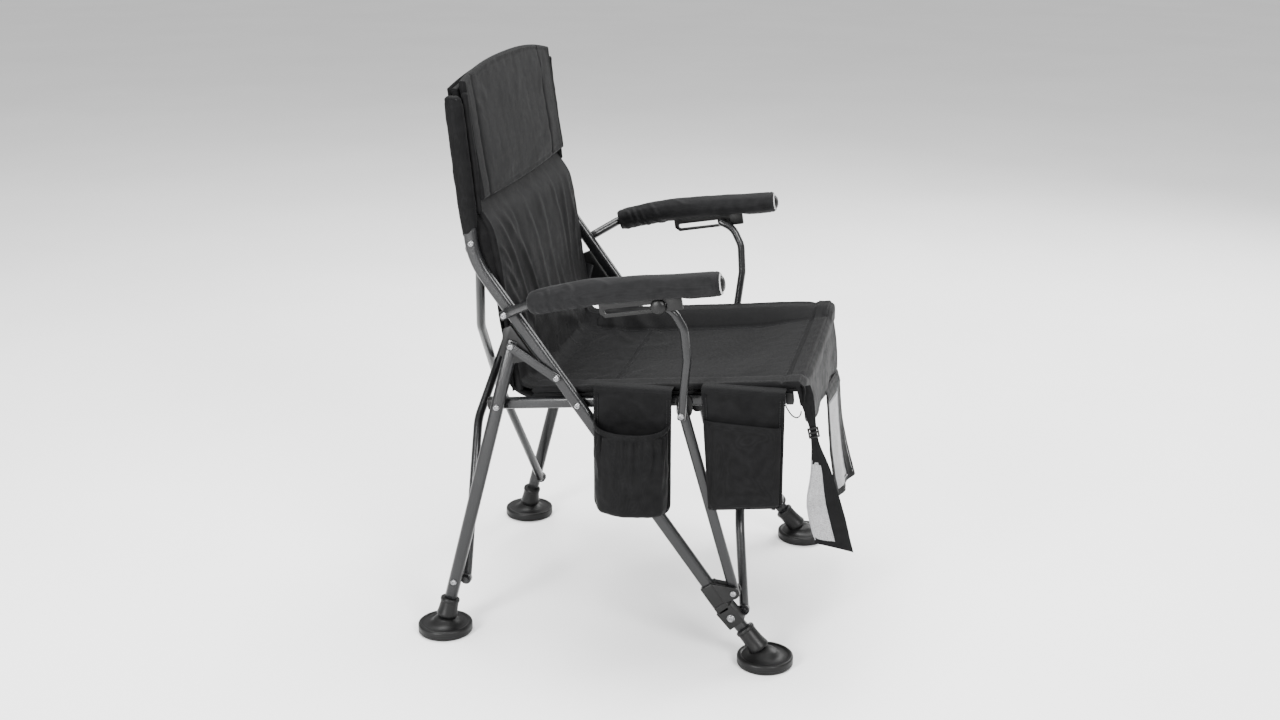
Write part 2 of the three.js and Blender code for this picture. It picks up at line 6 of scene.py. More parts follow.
import bmesh
import bpy
import numpy as np
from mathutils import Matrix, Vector

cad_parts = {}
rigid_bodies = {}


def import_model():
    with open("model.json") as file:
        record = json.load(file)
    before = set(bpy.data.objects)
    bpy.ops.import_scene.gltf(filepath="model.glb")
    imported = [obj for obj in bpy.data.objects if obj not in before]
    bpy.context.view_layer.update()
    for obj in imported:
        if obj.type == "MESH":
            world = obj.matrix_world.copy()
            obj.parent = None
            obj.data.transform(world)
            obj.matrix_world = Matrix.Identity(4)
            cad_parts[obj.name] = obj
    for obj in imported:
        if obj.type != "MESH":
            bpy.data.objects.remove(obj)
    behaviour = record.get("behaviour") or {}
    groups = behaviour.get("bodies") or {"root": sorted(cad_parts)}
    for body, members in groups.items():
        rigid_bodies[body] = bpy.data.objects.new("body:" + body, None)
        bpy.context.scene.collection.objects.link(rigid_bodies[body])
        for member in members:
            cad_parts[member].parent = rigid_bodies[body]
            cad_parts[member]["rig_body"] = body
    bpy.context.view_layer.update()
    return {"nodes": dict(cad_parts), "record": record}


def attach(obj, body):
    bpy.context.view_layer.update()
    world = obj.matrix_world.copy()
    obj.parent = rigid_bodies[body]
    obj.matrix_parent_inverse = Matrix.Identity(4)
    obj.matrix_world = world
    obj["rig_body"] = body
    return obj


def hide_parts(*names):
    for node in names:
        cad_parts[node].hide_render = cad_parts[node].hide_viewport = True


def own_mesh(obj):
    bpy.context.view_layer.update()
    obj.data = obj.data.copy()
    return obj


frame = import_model()

FEET_MIDDLE_Y = 43.6  # row-frame y of the point midway between the feet, in mm
SIDES = (("left", 1), ("right", -1))


def metres(points):
    """Design points in mm to the row frame in metres."""
    return (np.asarray(points, float) + (0, FEET_MIDDLE_Y, 0)) / 1000


# ---------------------------------------------------------------- camera, light and floor
def look_at(obj, target):
    direction = Vector(target) - obj.location
    obj.rotation_euler = direction.to_track_quat("-Z", "Y").to_euler()


camera_data = bpy.data.cameras.new("camera")
camera = bpy.data.objects.new("camera", camera_data)
bpy.context.scene.collection.objects.link(camera)
camera.location = metres((-2673.3, -580.6, 1295.7))
look_at(camera, metres((0, -6.95, 434.5)))
camera.rotation_euler.rotate_axis("Z", math.radians(0.124))
camera_data.sensor_width = 36
camera_data.lens = 1594.63 * 36 / 1280
camera_data.clip_end = 60
bpy.context.scene.camera = camera


def area_light(name, place, size, power, target=(0, 0, 0.45)):
    data = bpy.data.lights.new(name, "AREA")
    data.shape = "RECTANGLE"
    data.size, data.size_y = size
    data.energy = power
    lamp = bpy.data.objects.new(name, data)
    bpy.context.scene.collection.objects.link(lamp)
    lamp.location = place
    look_at(lamp, target)


area_light("key_light", (-2.6, -2.4, 2.5), (1.4, 1.4), 215)
area_light("side_light", (-3.2, 1.4, 1.5), (0.8, 1.6), 230)
area_light("top_light", (0.6, 0.3, 3.6), (2.4, 2.4), 310)
area_light("rim_light", (2.6, -1.6, 2.2), (1.2, 2.0), 90)

world = bpy.data.worlds.new("studio")
bpy.context.scene.world = world
world.use_nodes = True
world.node_tree.nodes["Background"].inputs["Color"].default_value = (1, 1, 1, 1)
world.node_tree.nodes["Background"].inputs["Strength"].default_value = 0.8

FLOOR_HALF = 14
floor_mesh = bpy.data.meshes.new("floor")
floor_mesh.from_pydata(
    [(-FLOOR_HALF, -FLOOR_HALF, -0.0005), (FLOOR_HALF, -FLOOR_HALF, -0.0005),
     (FLOOR_HALF, FLOOR_HALF, -0.0005), (-FLOOR_HALF, FLOOR_HALF, -0.0005)],
    [],
    [(0, 1, 2, 3)],
)
floor = bpy.data.objects.new("floor", floor_mesh)
bpy.context.scene.collection.objects.link(floor)


# ---------------------------------------------------------------- materials
class Shader:
    """A principled material with short calls for the nodes around it."""

    def __init__(self, name, **uniform):
        self.material = bpy.data.materials.new(name)
        self.material.use_nodes = True
        self.tree = self.material.node_tree
        self.shader = self.tree.nodes["Principled BSDF"]
        for socket, value in uniform.items():
            self.shader.inputs[socket.replace("_", " ")].default_value = value
        self.place = self.node("ShaderNodeTexCoord").outputs["Object"]

    def node(self, kind, **settings):
        made = self.tree.nodes.new(kind)
        for key, value in settings.items():
            setattr(made, key, value)
        return made

    def link(self, source, target):
        self.tree.links.new(source, target)
        return self

    def noise(self, scale, detail=3.0, roughness=0.55):
        made = self.node("ShaderNodeTexNoise")
        made.inputs["Scale"].default_value = scale
        made.inputs["Detail"].default_value = detail
        made.inputs["Roughness"].default_value = roughness
        self.link(self.place, made.inputs["Vector"])
        return made.outputs["Fac"]

    def cells(self, scale, feature="F1"):
        made = self.node("ShaderNodeTexVoronoi", feature=feature)
        made.inputs["Scale"].default_value = scale
        self.link(self.place, made.inputs["Vector"])
        return made.outputs["Distance"]

    def wave(self, axis, scale, distortion=0.0):
        made = self.node("ShaderNodeTexWave", bands_direction=axis, wave_profile="SIN")
        made.inputs["Scale"].default_value = scale
        made.inputs["Distortion"].default_value = distortion
        made.inputs["Detail Scale"].default_value = 2.0
        self.link(self.place, made.inputs["Vector"])
        return made.outputs["Fac"]

    def math(self, operation, a, b):
        made = self.node("ShaderNodeMath", operation=operation)
        for socket, value in zip(made.inputs, (a, b)):
            if isinstance(value, (int, float)):
                socket.default_value = value
            else:
                self.link(value, socket)
        return made.outputs[0]

    def ramp(self, source, stops):
        made = self.node("ShaderNodeValToRGB")
        elements = made.color_ramp.elements
        while len(elements) < len(stops):
            elements.new(0.5)
        for element, (position, value) in zip(elements, stops):
            element.position = position
            element.color = (*value, 1) if len(np.shape(value)) else (value, value, value, 1)
        self.link(source, made.inputs["Fac"])
        return made.outputs["Color"]

    def bump(self, source, strength, distance, under=None):
        made = self.node("ShaderNodeBump")
        made.inputs["Strength"].default_value = strength
        made.inputs["Distance"].default_value = distance
        self.link(source, made.inputs["Height"])
        if under is not None:
            self.link(under, made.inputs["Normal"])
        return made.outputs["Normal"]

    def finish(self, colour=None, roughness=None, normal=None):
        for source, socket in ((colour, "Base Color"), (roughness, "Roughness"), (normal, "Normal")):
            if source is not None:
                self.link(source, self.shader.inputs[socket])
        return self.material


def hammered_coat():
    """Charcoal hammered powder coat: fine raised cells with lighter flecks."""
    m = Shader("frame_coat", Metallic=0.12, Specular_IOR_Level=0.25, Coat_Weight=0.22, Coat_Roughness=0.16)
    cells = m.cells(520)
    noise = m.noise(1500, 4)
    height = m.math("ADD", cells, m.math("MULTIPLY", noise, 0.5))
    patches = m.math("MULTIPLY", m.noise(9, 2), 0.35)
    tone = m.math("ADD", m.math("MULTIPLY", noise, 0.65), patches)
    colour = m.ramp(tone, ((0.4, (0.003, 0.0031, 0.0034)), (0.6, (0.008, 0.0082, 0.0088)),
                           (0.78, (0.06, 0.062, 0.065))))
    roughness = m.ramp(noise, ((0.3, 0.22), (0.7, 0.4)))
    return m.finish(colour, roughness, m.bump(height, 0.55, 0.0004))


def moulded(name, tone, rough, grain=2600):
    m = Shader(name, Specular_IOR_Level=0.2)
    grain_noise = m.noise(grain, 2)
    scuff = m.noise(38, 6, 0.7)
    colour = m.ramp(scuff, ((0.3, tone * 0.8), (0.6, tone), (0.82, tone * 1.9)))
    roughness = m.ramp(scuff, ((0.3, rough - 0.07), (0.75, rough + 0.12)))
    return m.finish(colour, roughness, m.bump(grain_noise, 0.25, 0.0001))


def woven(name, tone, pitch_mm=0.9, rough=0.72, sheen=0.02, relief=0.00022, tint=(1, 1, 1.04)):
    """Coarse plain weave that reads on every face, whichever way it looks."""
    m = Shader(name, Sheen_Weight=sheen, Sheen_Roughness=0.45, Specular_IOR_Level=0.03)
    scale = 2 * math.pi / 20 / (pitch_mm / 1000)
    weave = m.math("ADD", m.math("ADD", m.wave("X", scale, 0.25), m.wave("Y", scale, 0.25)),
                   m.wave("Z", scale, 0.25))
    fine = m.noise(2400, 3)
    slub = m.noise(60, 5, 0.65)
    level = m.math("ADD", m.math("MULTIPLY", weave, 0.12), m.math("MULTIPLY", slub, 0.6))
    low, middle, high = (tuple(tone * k * t for t in tint) for k in (0.55, 1.0, 1.6))
    colour = m.ramp(level, ((0.3, low), (0.55, middle), (0.8, high)))
    roughness = m.ramp(slub, ((0.3, rough - 0.08), (0.7, rough + 0.1)))
    height = m.math("ADD", weave, m.math("MULTIPLY", fine, 0.6))
    broad = m.bump(m.noise(70, 2), 0.15, 0.0012)
    return m.finish(colour, roughness, m.bump(height, 0.22, relief, broad))


def netting():
    """Pale fine net, seen as small dark eyes between light threads."""
    m = Shader("grey_net", Sheen_Weight=0.15, Sheen_Roughness=0.5, IOR=1.4)
    threads = m.math("MULTIPLY", m.math("MULTIPLY", m.wave("X", 100), m.wave("Y", 100)), m.wave("Z", 100))
    eyes = m.cells(620)
    level = m.math("ADD", m.math("MULTIPLY", eyes, 0.8), m.math("MULTIPLY", m.noise(30, 4), 0.35))
    colour = m.ramp(level, ((0.16, (0.035, 0.035, 0.037)), (0.42, (0.12, 0.12, 0.122)),
                            (0.7, (0.24, 0.24, 0.245))))
    roughness = m.ramp(threads, ((0.0, 0.62), (1.0, 0.85)))
    return m.finish(colour, roughness, m.bump(eyes, 0.4, 0.0004))


def rivet_steel():
    m = Shader("rivet_steel", Metallic=1.0)
    noise = m.noise(700, 4)
    colour = m.ramp(noise, ((0.3, (0.14, 0.14, 0.145)), (0.7, (0.28, 0.28, 0.285))))
    return m.finish(colour, m.ramp(noise, ((0.3, 0.24), (0.7, 0.42))), m.bump(noise, 0.2, 0.0001))


def pale_paint():
    m = Shader("pale_floor")
    noise = m.noise(1.2, 3)
    return m.finish(m.ramp(noise, ((0.3, 0.86), (0.7, 0.9))), m.ramp(noise, ((0.3, 0.85), (0.7, 0.95))))


COAT = hammered_coat()
JOINT = moulded("joint_plastic", 0.004, 0.4)
FOOT = moulded("foot_plastic", 0.004, 0.42)
FOAM = woven("arm_foam", 0.01, 0.8, 0.5, 0.04)
CLOTH = woven("black_cloth", 0.0055, 0.9, 0.55, 0.02)
TAPE = woven("edge_tape", 0.004, 1.3, 0.5, 0.02, 0.0003)
SLING = woven("sling_cloth", 0.005, 0.8, 0.8, 0.03)
THREAD = woven("thread", 0.02, 0.4, 0.55, 0.05)
CORD = woven("cord_black", 0.006, 0.5, 0.6, 0.05)
FELT = woven("heater_felt", 0.05, 1.6, 0.9, 0.2)
NET = netting()
PIPING = woven("pale_piping", 0.22, 1.1, 0.7, 0.1)
STEEL = rivet_steel()
INNER_FOAM = moulded("foam_edge", 0.35, 0.8, 900)
floor_mesh.materials.append(pale_paint())

CAD_LOOK = {"frame_coat": COAT, "joint_plastic": JOINT, "foot_plastic": FOOT, "arm_foam": FOAM,
            "black_cloth": CLOTH, "sling_cloth": SLING, "grey_net": NET, "heater_felt": FELT,
            "cord_black": CORD}
FINISH_SLOT = {look.name: slot for slot, look in CAD_LOOK.items()}
FINISH_SLOT.update({TAPE.name: "black_cloth", PIPING.name: "grey_net", INNER_FOAM.name: "arm_foam"})
SLOT_OF = {part["node"]: part["material_slot"] for part in frame["record"]["subparts"]}
for node_name, node in frame["nodes"].items():
    node.data.materials.clear()
    node.data.materials.append(CAD_LOOK[SLOT_OF[node_name]])


# ---------------------------------------------------------------- mesh helpers
# How cloth would draw in as the chair folds, as (share kept, x it draws towards in metres). A panel between
# the side frames would narrow; what hangs on the right rail would move inwards with it and keep its shape.
# Here a piece given one of these only gets a mesh of its own.
ACROSS, ON_RIGHT_RAIL = (0.37, 0.0), (0.9, 1.303)


def piece(name, shape, material, body, replaces=(), sharp=35, squash=None):
    """A finished mesh piece from a shape, (points in mm, faces), riding on a CAD body."""
    points, faces = shape
    mesh = bpy.data.meshes.new(name)
    mesh.from_pydata([tuple(map(float, p)) for p in metres(points)], [], [tuple(map(int, f)) for f in faces])
    form = bmesh.new()
    form.from_mesh(mesh)
    bmesh.ops.remove_doubles(form, verts=form.verts, dist=1e-6)
    bmesh.ops.recalc_face_normals(form, faces=form.faces)
    for edge in form.edges:
        if len(edge.link_faces) == 2 and edge.calc_face_angle(0) > math.radians(sharp):
            edge.smooth = False
    for face in form.faces:
        face.smooth = True
    form.to_mesh(mesh)
    form.free()
    mesh.materials.append(material)
    made = bpy.data.objects.new(name, mesh)
    bpy.context.scene.collection.objects.link(made)
    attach(made, body)
    if replaces:
        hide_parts(*replaces)
    return drawn_in(made, squash)


def drawn_in(made, squash):
    if squash:
        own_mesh(made)
    return made


def ring_faces(rows, around):
    """Faces between rings of points, each ring with the same number."""
    return [(i * around + j, i * around + (j + 1) % around, (i + 1) * around + (j + 1) % around,
             (i + 1) * around + j)
            for i in range(rows - 1) for j in range(around)]


def end_faces(rows, around):
    """Flat faces on the first and last ring."""
    return [tuple(range(around)), tuple((rows - 1) * around + j for j in range(around))]


def frames_along(path, across=(1, 0, 0)):
    """Tangent, side and up vectors along a path, turned as little as possible from across."""
    path = np.asarray(path, float)
    tangent = np.gradient(path, axis=0)
    tangent /= np.linalg.norm(tangent, axis=1, keepdims=True)
    side = np.asarray(across, float) - tangent * (tangent @ np.asarray(across, float))[:, None]
    side /= np.linalg.norm(side, axis=1, keepdims=True)
    return tangent, side, np.cross(tangent, side)


def sweep_mesh(path, section, scale=None, across=(1, 0, 0)):
    """Points and faces of a section (side, up) carried along a path, with flat ends."""
    path = np.asarray(path, float)
    _, side, up = frames_along(path, across)
    section = np.asarray(section, float)
    count, around = len(path), len(section)
    scale = np.ones(count) if scale is None else np.asarray(scale, float)
    scale = scale.reshape(count, -1) * np.ones((1, 2))
    wide, high = (section[None, :, k, None] * scale[:, None, k, None] for k in (0, 1))
    rings = path[:, None] + wide * side[:, None] + high * up[:, None]
    first, last = end_faces(count, around)
    return rings.reshape(-1, 3), ring_faces(count, around) + [first[::-1], last]


def circle(radius, sides=24):
    angles = np.arange(sides) * 2 * math.pi / sides
    return np.stack([radius * np.cos(angles), radius * np.sin(angles)], 1)


def rounded(width, height, radius, steps=5):
    """A rectangle with round corners, as a closed section."""
    points = []
    for cx, cy, start in ((1, 1, 0), (-1, 1, 90), (-1, -1, 180), (1, -1, 270)):
        for k in range(steps + 1):
            angle = math.radians(start + 90 * k / steps)
            points.append((cx * (width / 2 - radius) + radius * math.cos(angle),
                           cy * (height / 2 - radius) + radius * math.sin(angle)))
    return np.array(points)


def bent(corners, radius, steps=10):
    """A polyline with each corner eased, as the CAD tubes are bent."""
    corners = [np.asarray(c, float) for c in corners]
    line = [corners[0]]
    for before, corner, after in zip(corners, corners[1:], corners[2:]):
        a, b = corner - before, after - corner
        la, lb = np.linalg.norm(a), np.linalg.norm(b)
        half = math.acos(np.clip(a @ b / la / lb, -1, 1)) / 2
        reach = min(radius * math.tan(half), la * 0.45, lb * 0.45)
        start, end = corner - a / la * reach, corner + b / lb * reach
        for k in range(steps + 1):
            t = k / steps
            line.append(start * (1 - t) ** 2 + corner * 2 * t * (1 - t) + end * t * t)
    line.append(corners[-1])
    return np.array(line)


def with_ends(path, lip=1.2):
    """The path with points near both ends, so that a swept bar's rim is rounded, and each point's scale."""
    path = np.asarray(path, float)
    first = path[1] - path[0]
    last = path[-2] - path[-1]
    first, last = first / np.linalg.norm(first), last / np.linalg.norm(last)
    start = [path[0], path[0] + first * lip * 0.35, path[0] + first * lip]
    end = [path[-1] + last * lip, path[-1] + last * lip * 0.35, path[-1]]
    scale = [0.86, 0.96, 1] + [1] * (len(path) - 2) + [1, 0.96, 0.86]
    return np.array(start + list(path[1:-1]) + end), np.array(scale)


def flipped(points, sign):
    return np.asarray(points, float) * (sign, 1, 1)


def tube(name, corners, section, body, node, radius):
    """A bent tube in mm that replaces its CAD bar."""
    path, scale = with_ends(bent(corners, radius))
    return piece(name, sweep_mesh(path, section, scale), COAT, body, (node,))


def lathe(profile, start, axis, segments=40):
    """Points and faces turned about an axis, from a profile of (radius, distance) pairs."""
    axis = np.asarray(axis, float) / np.linalg.norm(axis)
    helper = np.array((0, 0, 1.0)) if abs(axis[2]) < 0.9 else np.array((1.0, 0, 0))
    u = np.cross(axis, helper)
    u /= np.linalg.norm(u)
    v = np.cross(axis, u)
    points, rows = [], []
    for r, d in profile:
        centre = np.asarray(start, float) + axis * d
        if r < 1e-6:
            rows.append([len(points)] * segments)
            points.append(centre)
            continue
        rows.append(list(range(len(points), len(points) + segments)))
        for k in range(segments):
            angle = 2 * math.pi * k / segments
            points.append(centre + r * (math.cos(angle) * u + math.sin(angle) * v))
    faces = []
    for a, b in zip(rows, rows[1:]):
        for k in range(segments):
            n = (k + 1) % segments
            face = []
            for index in (a[k], a[n], b[n], b[k]):
                if index not in face:
                    face.append(index)
            if len(face) > 2:
                faces.append(tuple(face))
    return points, faces


def merged(parts):
    """Several (points, faces) joined in one."""
    points, faces = [], []
    for part_points, part_faces in parts:
        shift = len(points)
        points.extend(part_points)
        faces.extend(tuple(i + shift for i in face) for face in part_faces)
    return points, faces


def refined(node_name, bevel):
    """The CAD node's own shape with its hard edges softened, as a moulding has."""
    source = frame["nodes"][node_name]
    mesh = source.data.copy()
    mesh.name = node_name + "_moulding"
    made = bpy.data.objects.new(node_name + "_moulding", mesh)
    bpy.context.scene.collection.objects.link(made)
    form = bmesh.new()
    form.from_mesh(mesh)
    bmesh.ops.remove_doubles(form, verts=form.verts, dist=2e-6)
    bmesh.ops.dissolve_limit(form, angle_limit=math.radians(1), verts=form.verts, edges=form.edges)
    edges = [e for e in form.edges if len(e.link_faces) == 2 and e.calc_face_angle(0) > math.radians(28)]
    bmesh.ops.bevel(form, geom=edges, offset=bevel / 1000, segments=2, profile=0.6, affect="EDGES",
                    clamp_overlap=True)
    bmesh.ops.recalc_face_normals(form, faces=form.faces)
    for face in form.faces:
        face.smooth = True
    for edge in form.edges:
        edge.smooth = not (len(edge.link_faces) == 2 and edge.calc_face_angle(0) > math.radians(40))
    form.to_mesh(mesh)
    form.free()
    mesh.materials.clear()
    mesh.materials.append(CAD_LOOK[SLOT_OF[node_name]])
    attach(made, source["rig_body"])
    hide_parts(node_name)
    return made


# ---------------------------------------------------------------- toggle cord
CORD_LINE = [(-300, 455.5), (-303, 449), (-311, 438), (-319, 434.5), (-324.5, 439), (-326, 446)]
CORD_X = -248


def smooth_line(points, steps=8):
    """A Catmull-Rom line through points."""
    p = np.asarray(points, float)
    p = np.vstack([2 * p[0] - p[1], p, 2 * p[-1] - p[-2]])
    line = []
    for a, b, c, d in zip(p, p[1:], p[2:], p[3:]):
        for k in range(steps):
            t = k / steps
            line.append(0.5 * (2 * b + (c - a) * t + (2 * a - 5 * b + 4 * c - d) * t * t
                               + (3 * b - a - 3 * c + d) * t ** 3))
    line.append(p[-2])
    return np.array(line)


cord_path = smooth_line([(CORD_X, y, z) for y, z in CORD_LINE], 5)
toggle_cord = piece("toggle_cord_loop", sweep_mesh(cord_path, circle(1.1, 10)), CORD, "seat",
                    ("toggle_cord",))
drawn_in(toggle_cord, ON_RIGHT_RAIL)

# ---------------------------------------------------------------- frame tubes
MAIN_X, RAIL_X, STRUT_X = 264, 248, 268
MAIN_SECTION = rounded(16, 22, 6.5)
RAIL_SECTION = rounded(14, 20, 6)
STRUT_SECTION = rounded(11, 18, 5)
MAIN_LINE = [(-257.4, 41.3), (-207, 98), (213.3, 672.4), (240.3, 932)]
LEG_LINE = [(278.8, 41.5), (148.6, 541)]
RAIL_LINE = [(193, 421.3), (-306, 467.6)]
STRUT_PIN, SLIDER_PIN = np.array((-136.6, 436.4)), np.array((-226.2, 127.1))
POST_LINE = [(303.6, -98, 627.5), (302, -125, 616), (296.5, -142, 584), (290.5, -146, 533),
             (283.2, -139, 470), (282.6, -136, 429)]
ARM_X, ARM_ROOT_X = 315, 284
PAD_REAR, PAD_FRONT = np.array((103, 617.6)), np.array((-203, 668.3))
ARM_PIN = np.array((156.5, 587.8))
BRACE_R, POST_R, ARM_BAR_R = 8, 7, 8
REAR_BRACE = [(226, 215, 700), (95, 250, 510), (-95, 278, 335), (-240, 251, 92)]
FRONT_BRACE = [(214, -156, 449), (140, -178, 320), (-185, -211, 230), (-240, -240, 84)]
BRACE_PASS = 9
BRACE_OVERHANG = 7


def side_line(x, line):
    return [(x, y, z) for y, z in line]


def brace_line(line, passing):
    line = [np.array(p, float) for p in line]
    line[1][1] += passing
    line[2][1] += passing
    ahead = line[0] - line[1]
    line[0] = line[0] + ahead / np.linalg.norm(ahead) * BRACE_OVERHANG
    return line


strut_along = (SLIDER_PIN - STRUT_PIN) / np.linalg.norm(SLIDER_PIN - STRUT_PIN)
STRUT_LINE = [STRUT_PIN - strut_along * 9, SLIDER_PIN + strut_along * 8]
arm_back = (ARM_PIN - (140, 597)) / np.linalg.norm(ARM_PIN - (140, 597))
ARM_BAR = [(ARM_ROOT_X, *(ARM_PIN + arm_back * 8)), (ARM_ROOT_X + 1, 146, 593.7), (ARM_X, *PAD_REAR),
           (ARM_X, *PAD_FRONT)]
ARM_BEND = 22
MOULDINGS = (("brace_bracket", 1.2), ("strut_bracket", 0.8), ("leg_top_bracket", 1.0), ("rear_knuckle", 1.2),
             ("front_knuckle", 1.2), ("slot_plate", 0.9), ("fold_link", 0.7))
for side, sign in SIDES:
    passing = -sign * BRACE_PASS
    for stem, line, section, body, node, radius in (
        ("main_tube_bent", side_line(MAIN_X, MAIN_LINE), MAIN_SECTION, "main", "main_tube", 130),
        ("rear_leg_tube", side_line(MAIN_X, LEG_LINE), MAIN_SECTION, "leg", "rear_leg", 0.0),
        ("seat_rail_tube", side_line(RAIL_X, RAIL_LINE), RAIL_SECTION, "rail", "seat_rail", 0.0),
        ("front_strut_tube", side_line(STRUT_X, STRUT_LINE), STRUT_SECTION, "strut", "front_strut", 0.0),
        ("arm_post_bent", POST_LINE, circle(POST_R), "post", "arm_post", 40),
        ("armrest_bar_bent", ARM_BAR, circle(ARM_BAR_R), "arm", "armrest_bar", ARM_BEND),
        ("rear_brace_bent", brace_line(REAR_BRACE, passing), circle(BRACE_R), "rear_brace", "rear_brace", 90),
        ("front_brace_bent", brace_line(FRONT_BRACE, passing), circle(BRACE_R), "front_brace",
         "front_brace", 70),
    ):
        tube(f"{stem}_{side}", flipped(line, sign), section, f"{body}_{side}", f"{node}_{side}", radius)
    for stem, bevel in MOULDINGS:
        refined(f"{stem}_{side}", bevel)

RIVET_PROFILE = [(0, -2), (4.0, -2), (4.0, 0), (5.2, 0), (5.5, 0.4), (5.0, 1.6), (4.0, 2.6), (2.9, 3.0),
                 (2.4, 2.8), (1.8, 1.2), (0, 0.8)]
BOLT_PROFILE = [(0, -2), (4.2, -2), (4.2, 0), (6.4, 0), (6.6, 0.6), (5.6, 1.0), (5.2, 2.2), (4.4, 3.2),
                (3.0, 3.4), (2.3, 2.8), (1.8, 1.4), (0, 1.1)]

# ---------------------------------------------------------------- feet
BALL_X, BALL_Z = 268, 14
PAD_PROFILE = [(0, 0), (43.5, 0), (46.4, 0.8), (47.5, 2.6), (47.5, 5.6), (47.0, 6.1), (47.5, 6.6),
               (47.5, 13.4), (47.0, 15.2), (45.6, 16.4), (43.6, 16.9), (41.6, 16.7), (40.4, 15.9),
               (39.4, 15.2), (37.6, 15.1), (33, 15.6), (29, 16.6), (25.4, 18.4), (22.4, 20.8),
               (20.2, 23.0), (18.6, 24.4), (16, 25.8), (10, 28.6), (4, 29.6), (0, 29.7)]
SOCKET_PROFILE = [(0, 13), (14.6, 13), (17.4, 14.2), (18.6, 16.6), (18.2, 20), (17.2, 25), (16.3, 32),
                  (15.8, 40)]


def foot(end, side, sign, y, tube_end, length):
    disc = lathe(PAD_PROFILE, (sign * BALL_X, y, 0), (0, 0, 1), 80)
    piece(f"{end}_foot_disc_{side}", disc, FOOT, f"{end}_foot_{side}", (f"{end}_foot_pad_{side}",))
    ball = np.array((BALL_X, y, BALL_Z), float)
    axis = np.array((MAIN_X, *tube_end)) - ball
    top = [(15.6, length - 7), (16.6, length - 6.2), (16.9, length - 4.6), (16.9, length - 2.4),
           (16.3, length - 0.8), (15.2, length), (0, length)]
    profile = [p for p in SOCKET_PROFILE if p[1] < length - 8] + top
    boot = lathe(profile, flipped(ball, sign), flipped(axis, sign), 56)
    body = f"{'main' if end == 'front' else 'leg'}_{side}"
    piece(f"{end}_foot_boot_{side}", boot, FOOT, body, (f"{end}_foot_socket_{side}",))


for side, sign in SIDES:
    foot("front", side, sign, -281, MAIN_LINE[0], 58)
    foot("rear", side, sign, 284, LEG_LINE[0], 48)


def hull(points):
    """Convex outline of plane points, anticlockwise."""
    points = sorted({tuple(np.round(p, 6)) for p in points})
    chains = []
    for order in (points, points[::-1]):
        chain = []
        for p in order:
            while len(chain) > 1:
                if np.cross(np.subtract(chain[-1], chain[-2]), np.subtract(p, chain[-1])) > 0:
                    break
                chain.pop()
            chain.append(p)
        chains.append(chain[:-1])
    return np.array(chains[0] + chains[1])


def side_plate(outline, x0, x1, bevel=0.8):
    """Points and faces of a plate with its outline in y and z, its rims eased."""
    middle = outline.mean(axis=0)
    reach = np.linalg.norm(outline - middle, axis=1).mean()
    rings = []
    for x, inset in ((x0, bevel), (x0 + bevel * 0.3, bevel * 0.3), (x0 + bevel, 0), (x1 - bevel, 0),
                     (x1 - bevel * 0.3, bevel * 0.3), (x1, bevel)):
        ring = middle + (outline - middle) * (1 - inset / reach)
        rings.append(np.column_stack([np.full(len(ring), x), ring]))
    n, m = len(rings), len(outline)
    return np.concatenate(rings), ring_faces(n, m) + end_faces(n, m)


TUBE_LOW = np.array((-207, 98.0))
TUBE_UP = np.array((420.3, 574.4)) / np.hypot(420.3, 574.4)
TUBE_FORWARD = np.array((-TUBE_UP[1], TUBE_UP[0]))
for side, sign in SIDES:
    sleeve_line = [(264.8, *(TUBE_LOW + TUBE_UP * d)) for d in (5.0, 5.5, 6.6, 43.4, 44.5, 45.0)]
    parts = [sweep_mesh(sleeve_line, rounded(24.6, 28.6, 6.5), (0.93, 0.97, 1, 1, 0.97, 0.93))]
    lug = [SLIDER_PIN + 10.4 * np.array((math.cos(a), math.sin(a)))
           for a in np.linspace(0, 2 * math.pi, 37)[:-1]]
    lug += [TUBE_LOW + TUBE_UP * t + TUBE_FORWARD * f
            for t, f in ((5.6, 10), (43.6, 10), (43.2, 13.4), (40, 15.4))]
    for x0, x1 in ((256.4, 261.8), (274.2, 279.6)):
        parts.append(side_plate(hull(lug), x0, x1))
    points, faces = merged(parts)
    piece(f"slider_moulding_{side}", (flipped(points, sign), faces), JOINT, f"slider_{side}",
          (f"slider_{side}",), sharp=40)

# The bracket's collar runs on up the tube to the slider.
for side, sign in SIDES:
    line = [(sign * 264.8, *(TUBE_LOW + TUBE_UP * d)) for d in (-9, -8, 3.4, 4.6)]
    piece(f"bracket_collar_{side}", sweep_mesh(line, rounded(24.4, 28.4, 5.5), (0.97, 1, 1, 0.97)), JOINT,
          f"main_{side}")

# Brace feet: each brace's flattened lower end, bolted to the far side's leg or bracket.
for side, sign in SIDES:
    for end, place in (("rear", (251, 92)), ("front", (-240, 84))):
        profile = [(0, -4.4), (5, -4.4), (5.4, -3.8), (5.4, -0.6), (9.4, -0.6), (9.9, 0.2), (9.9, 8.4),
                   (9.2, 9.2), (6, 9.2), (6, 14.8), (0, 14.8)]
        piece(f"{end}_brace_eye_{side}", lathe(profile, (-sign * 240, *place), (-sign, 0, 0), 32), COAT,
              f"{end}_brace_{side}")
        piece(f"{end}_brace_bolt_{side}", lathe(RIVET_PROFILE, (-sign * 235.8, *place), (sign, 0, 0), 24),
              STEEL, f"{end}_brace_{side}", sharp=50)

# ---------------------------------------------------------------- rivets and caps
def fastener(name, x, place, sign, body, profile):
    piece(name, lathe(profile, (sign * x, *place), (sign, 0, 0), 28), STEEL, body, sharp=50)


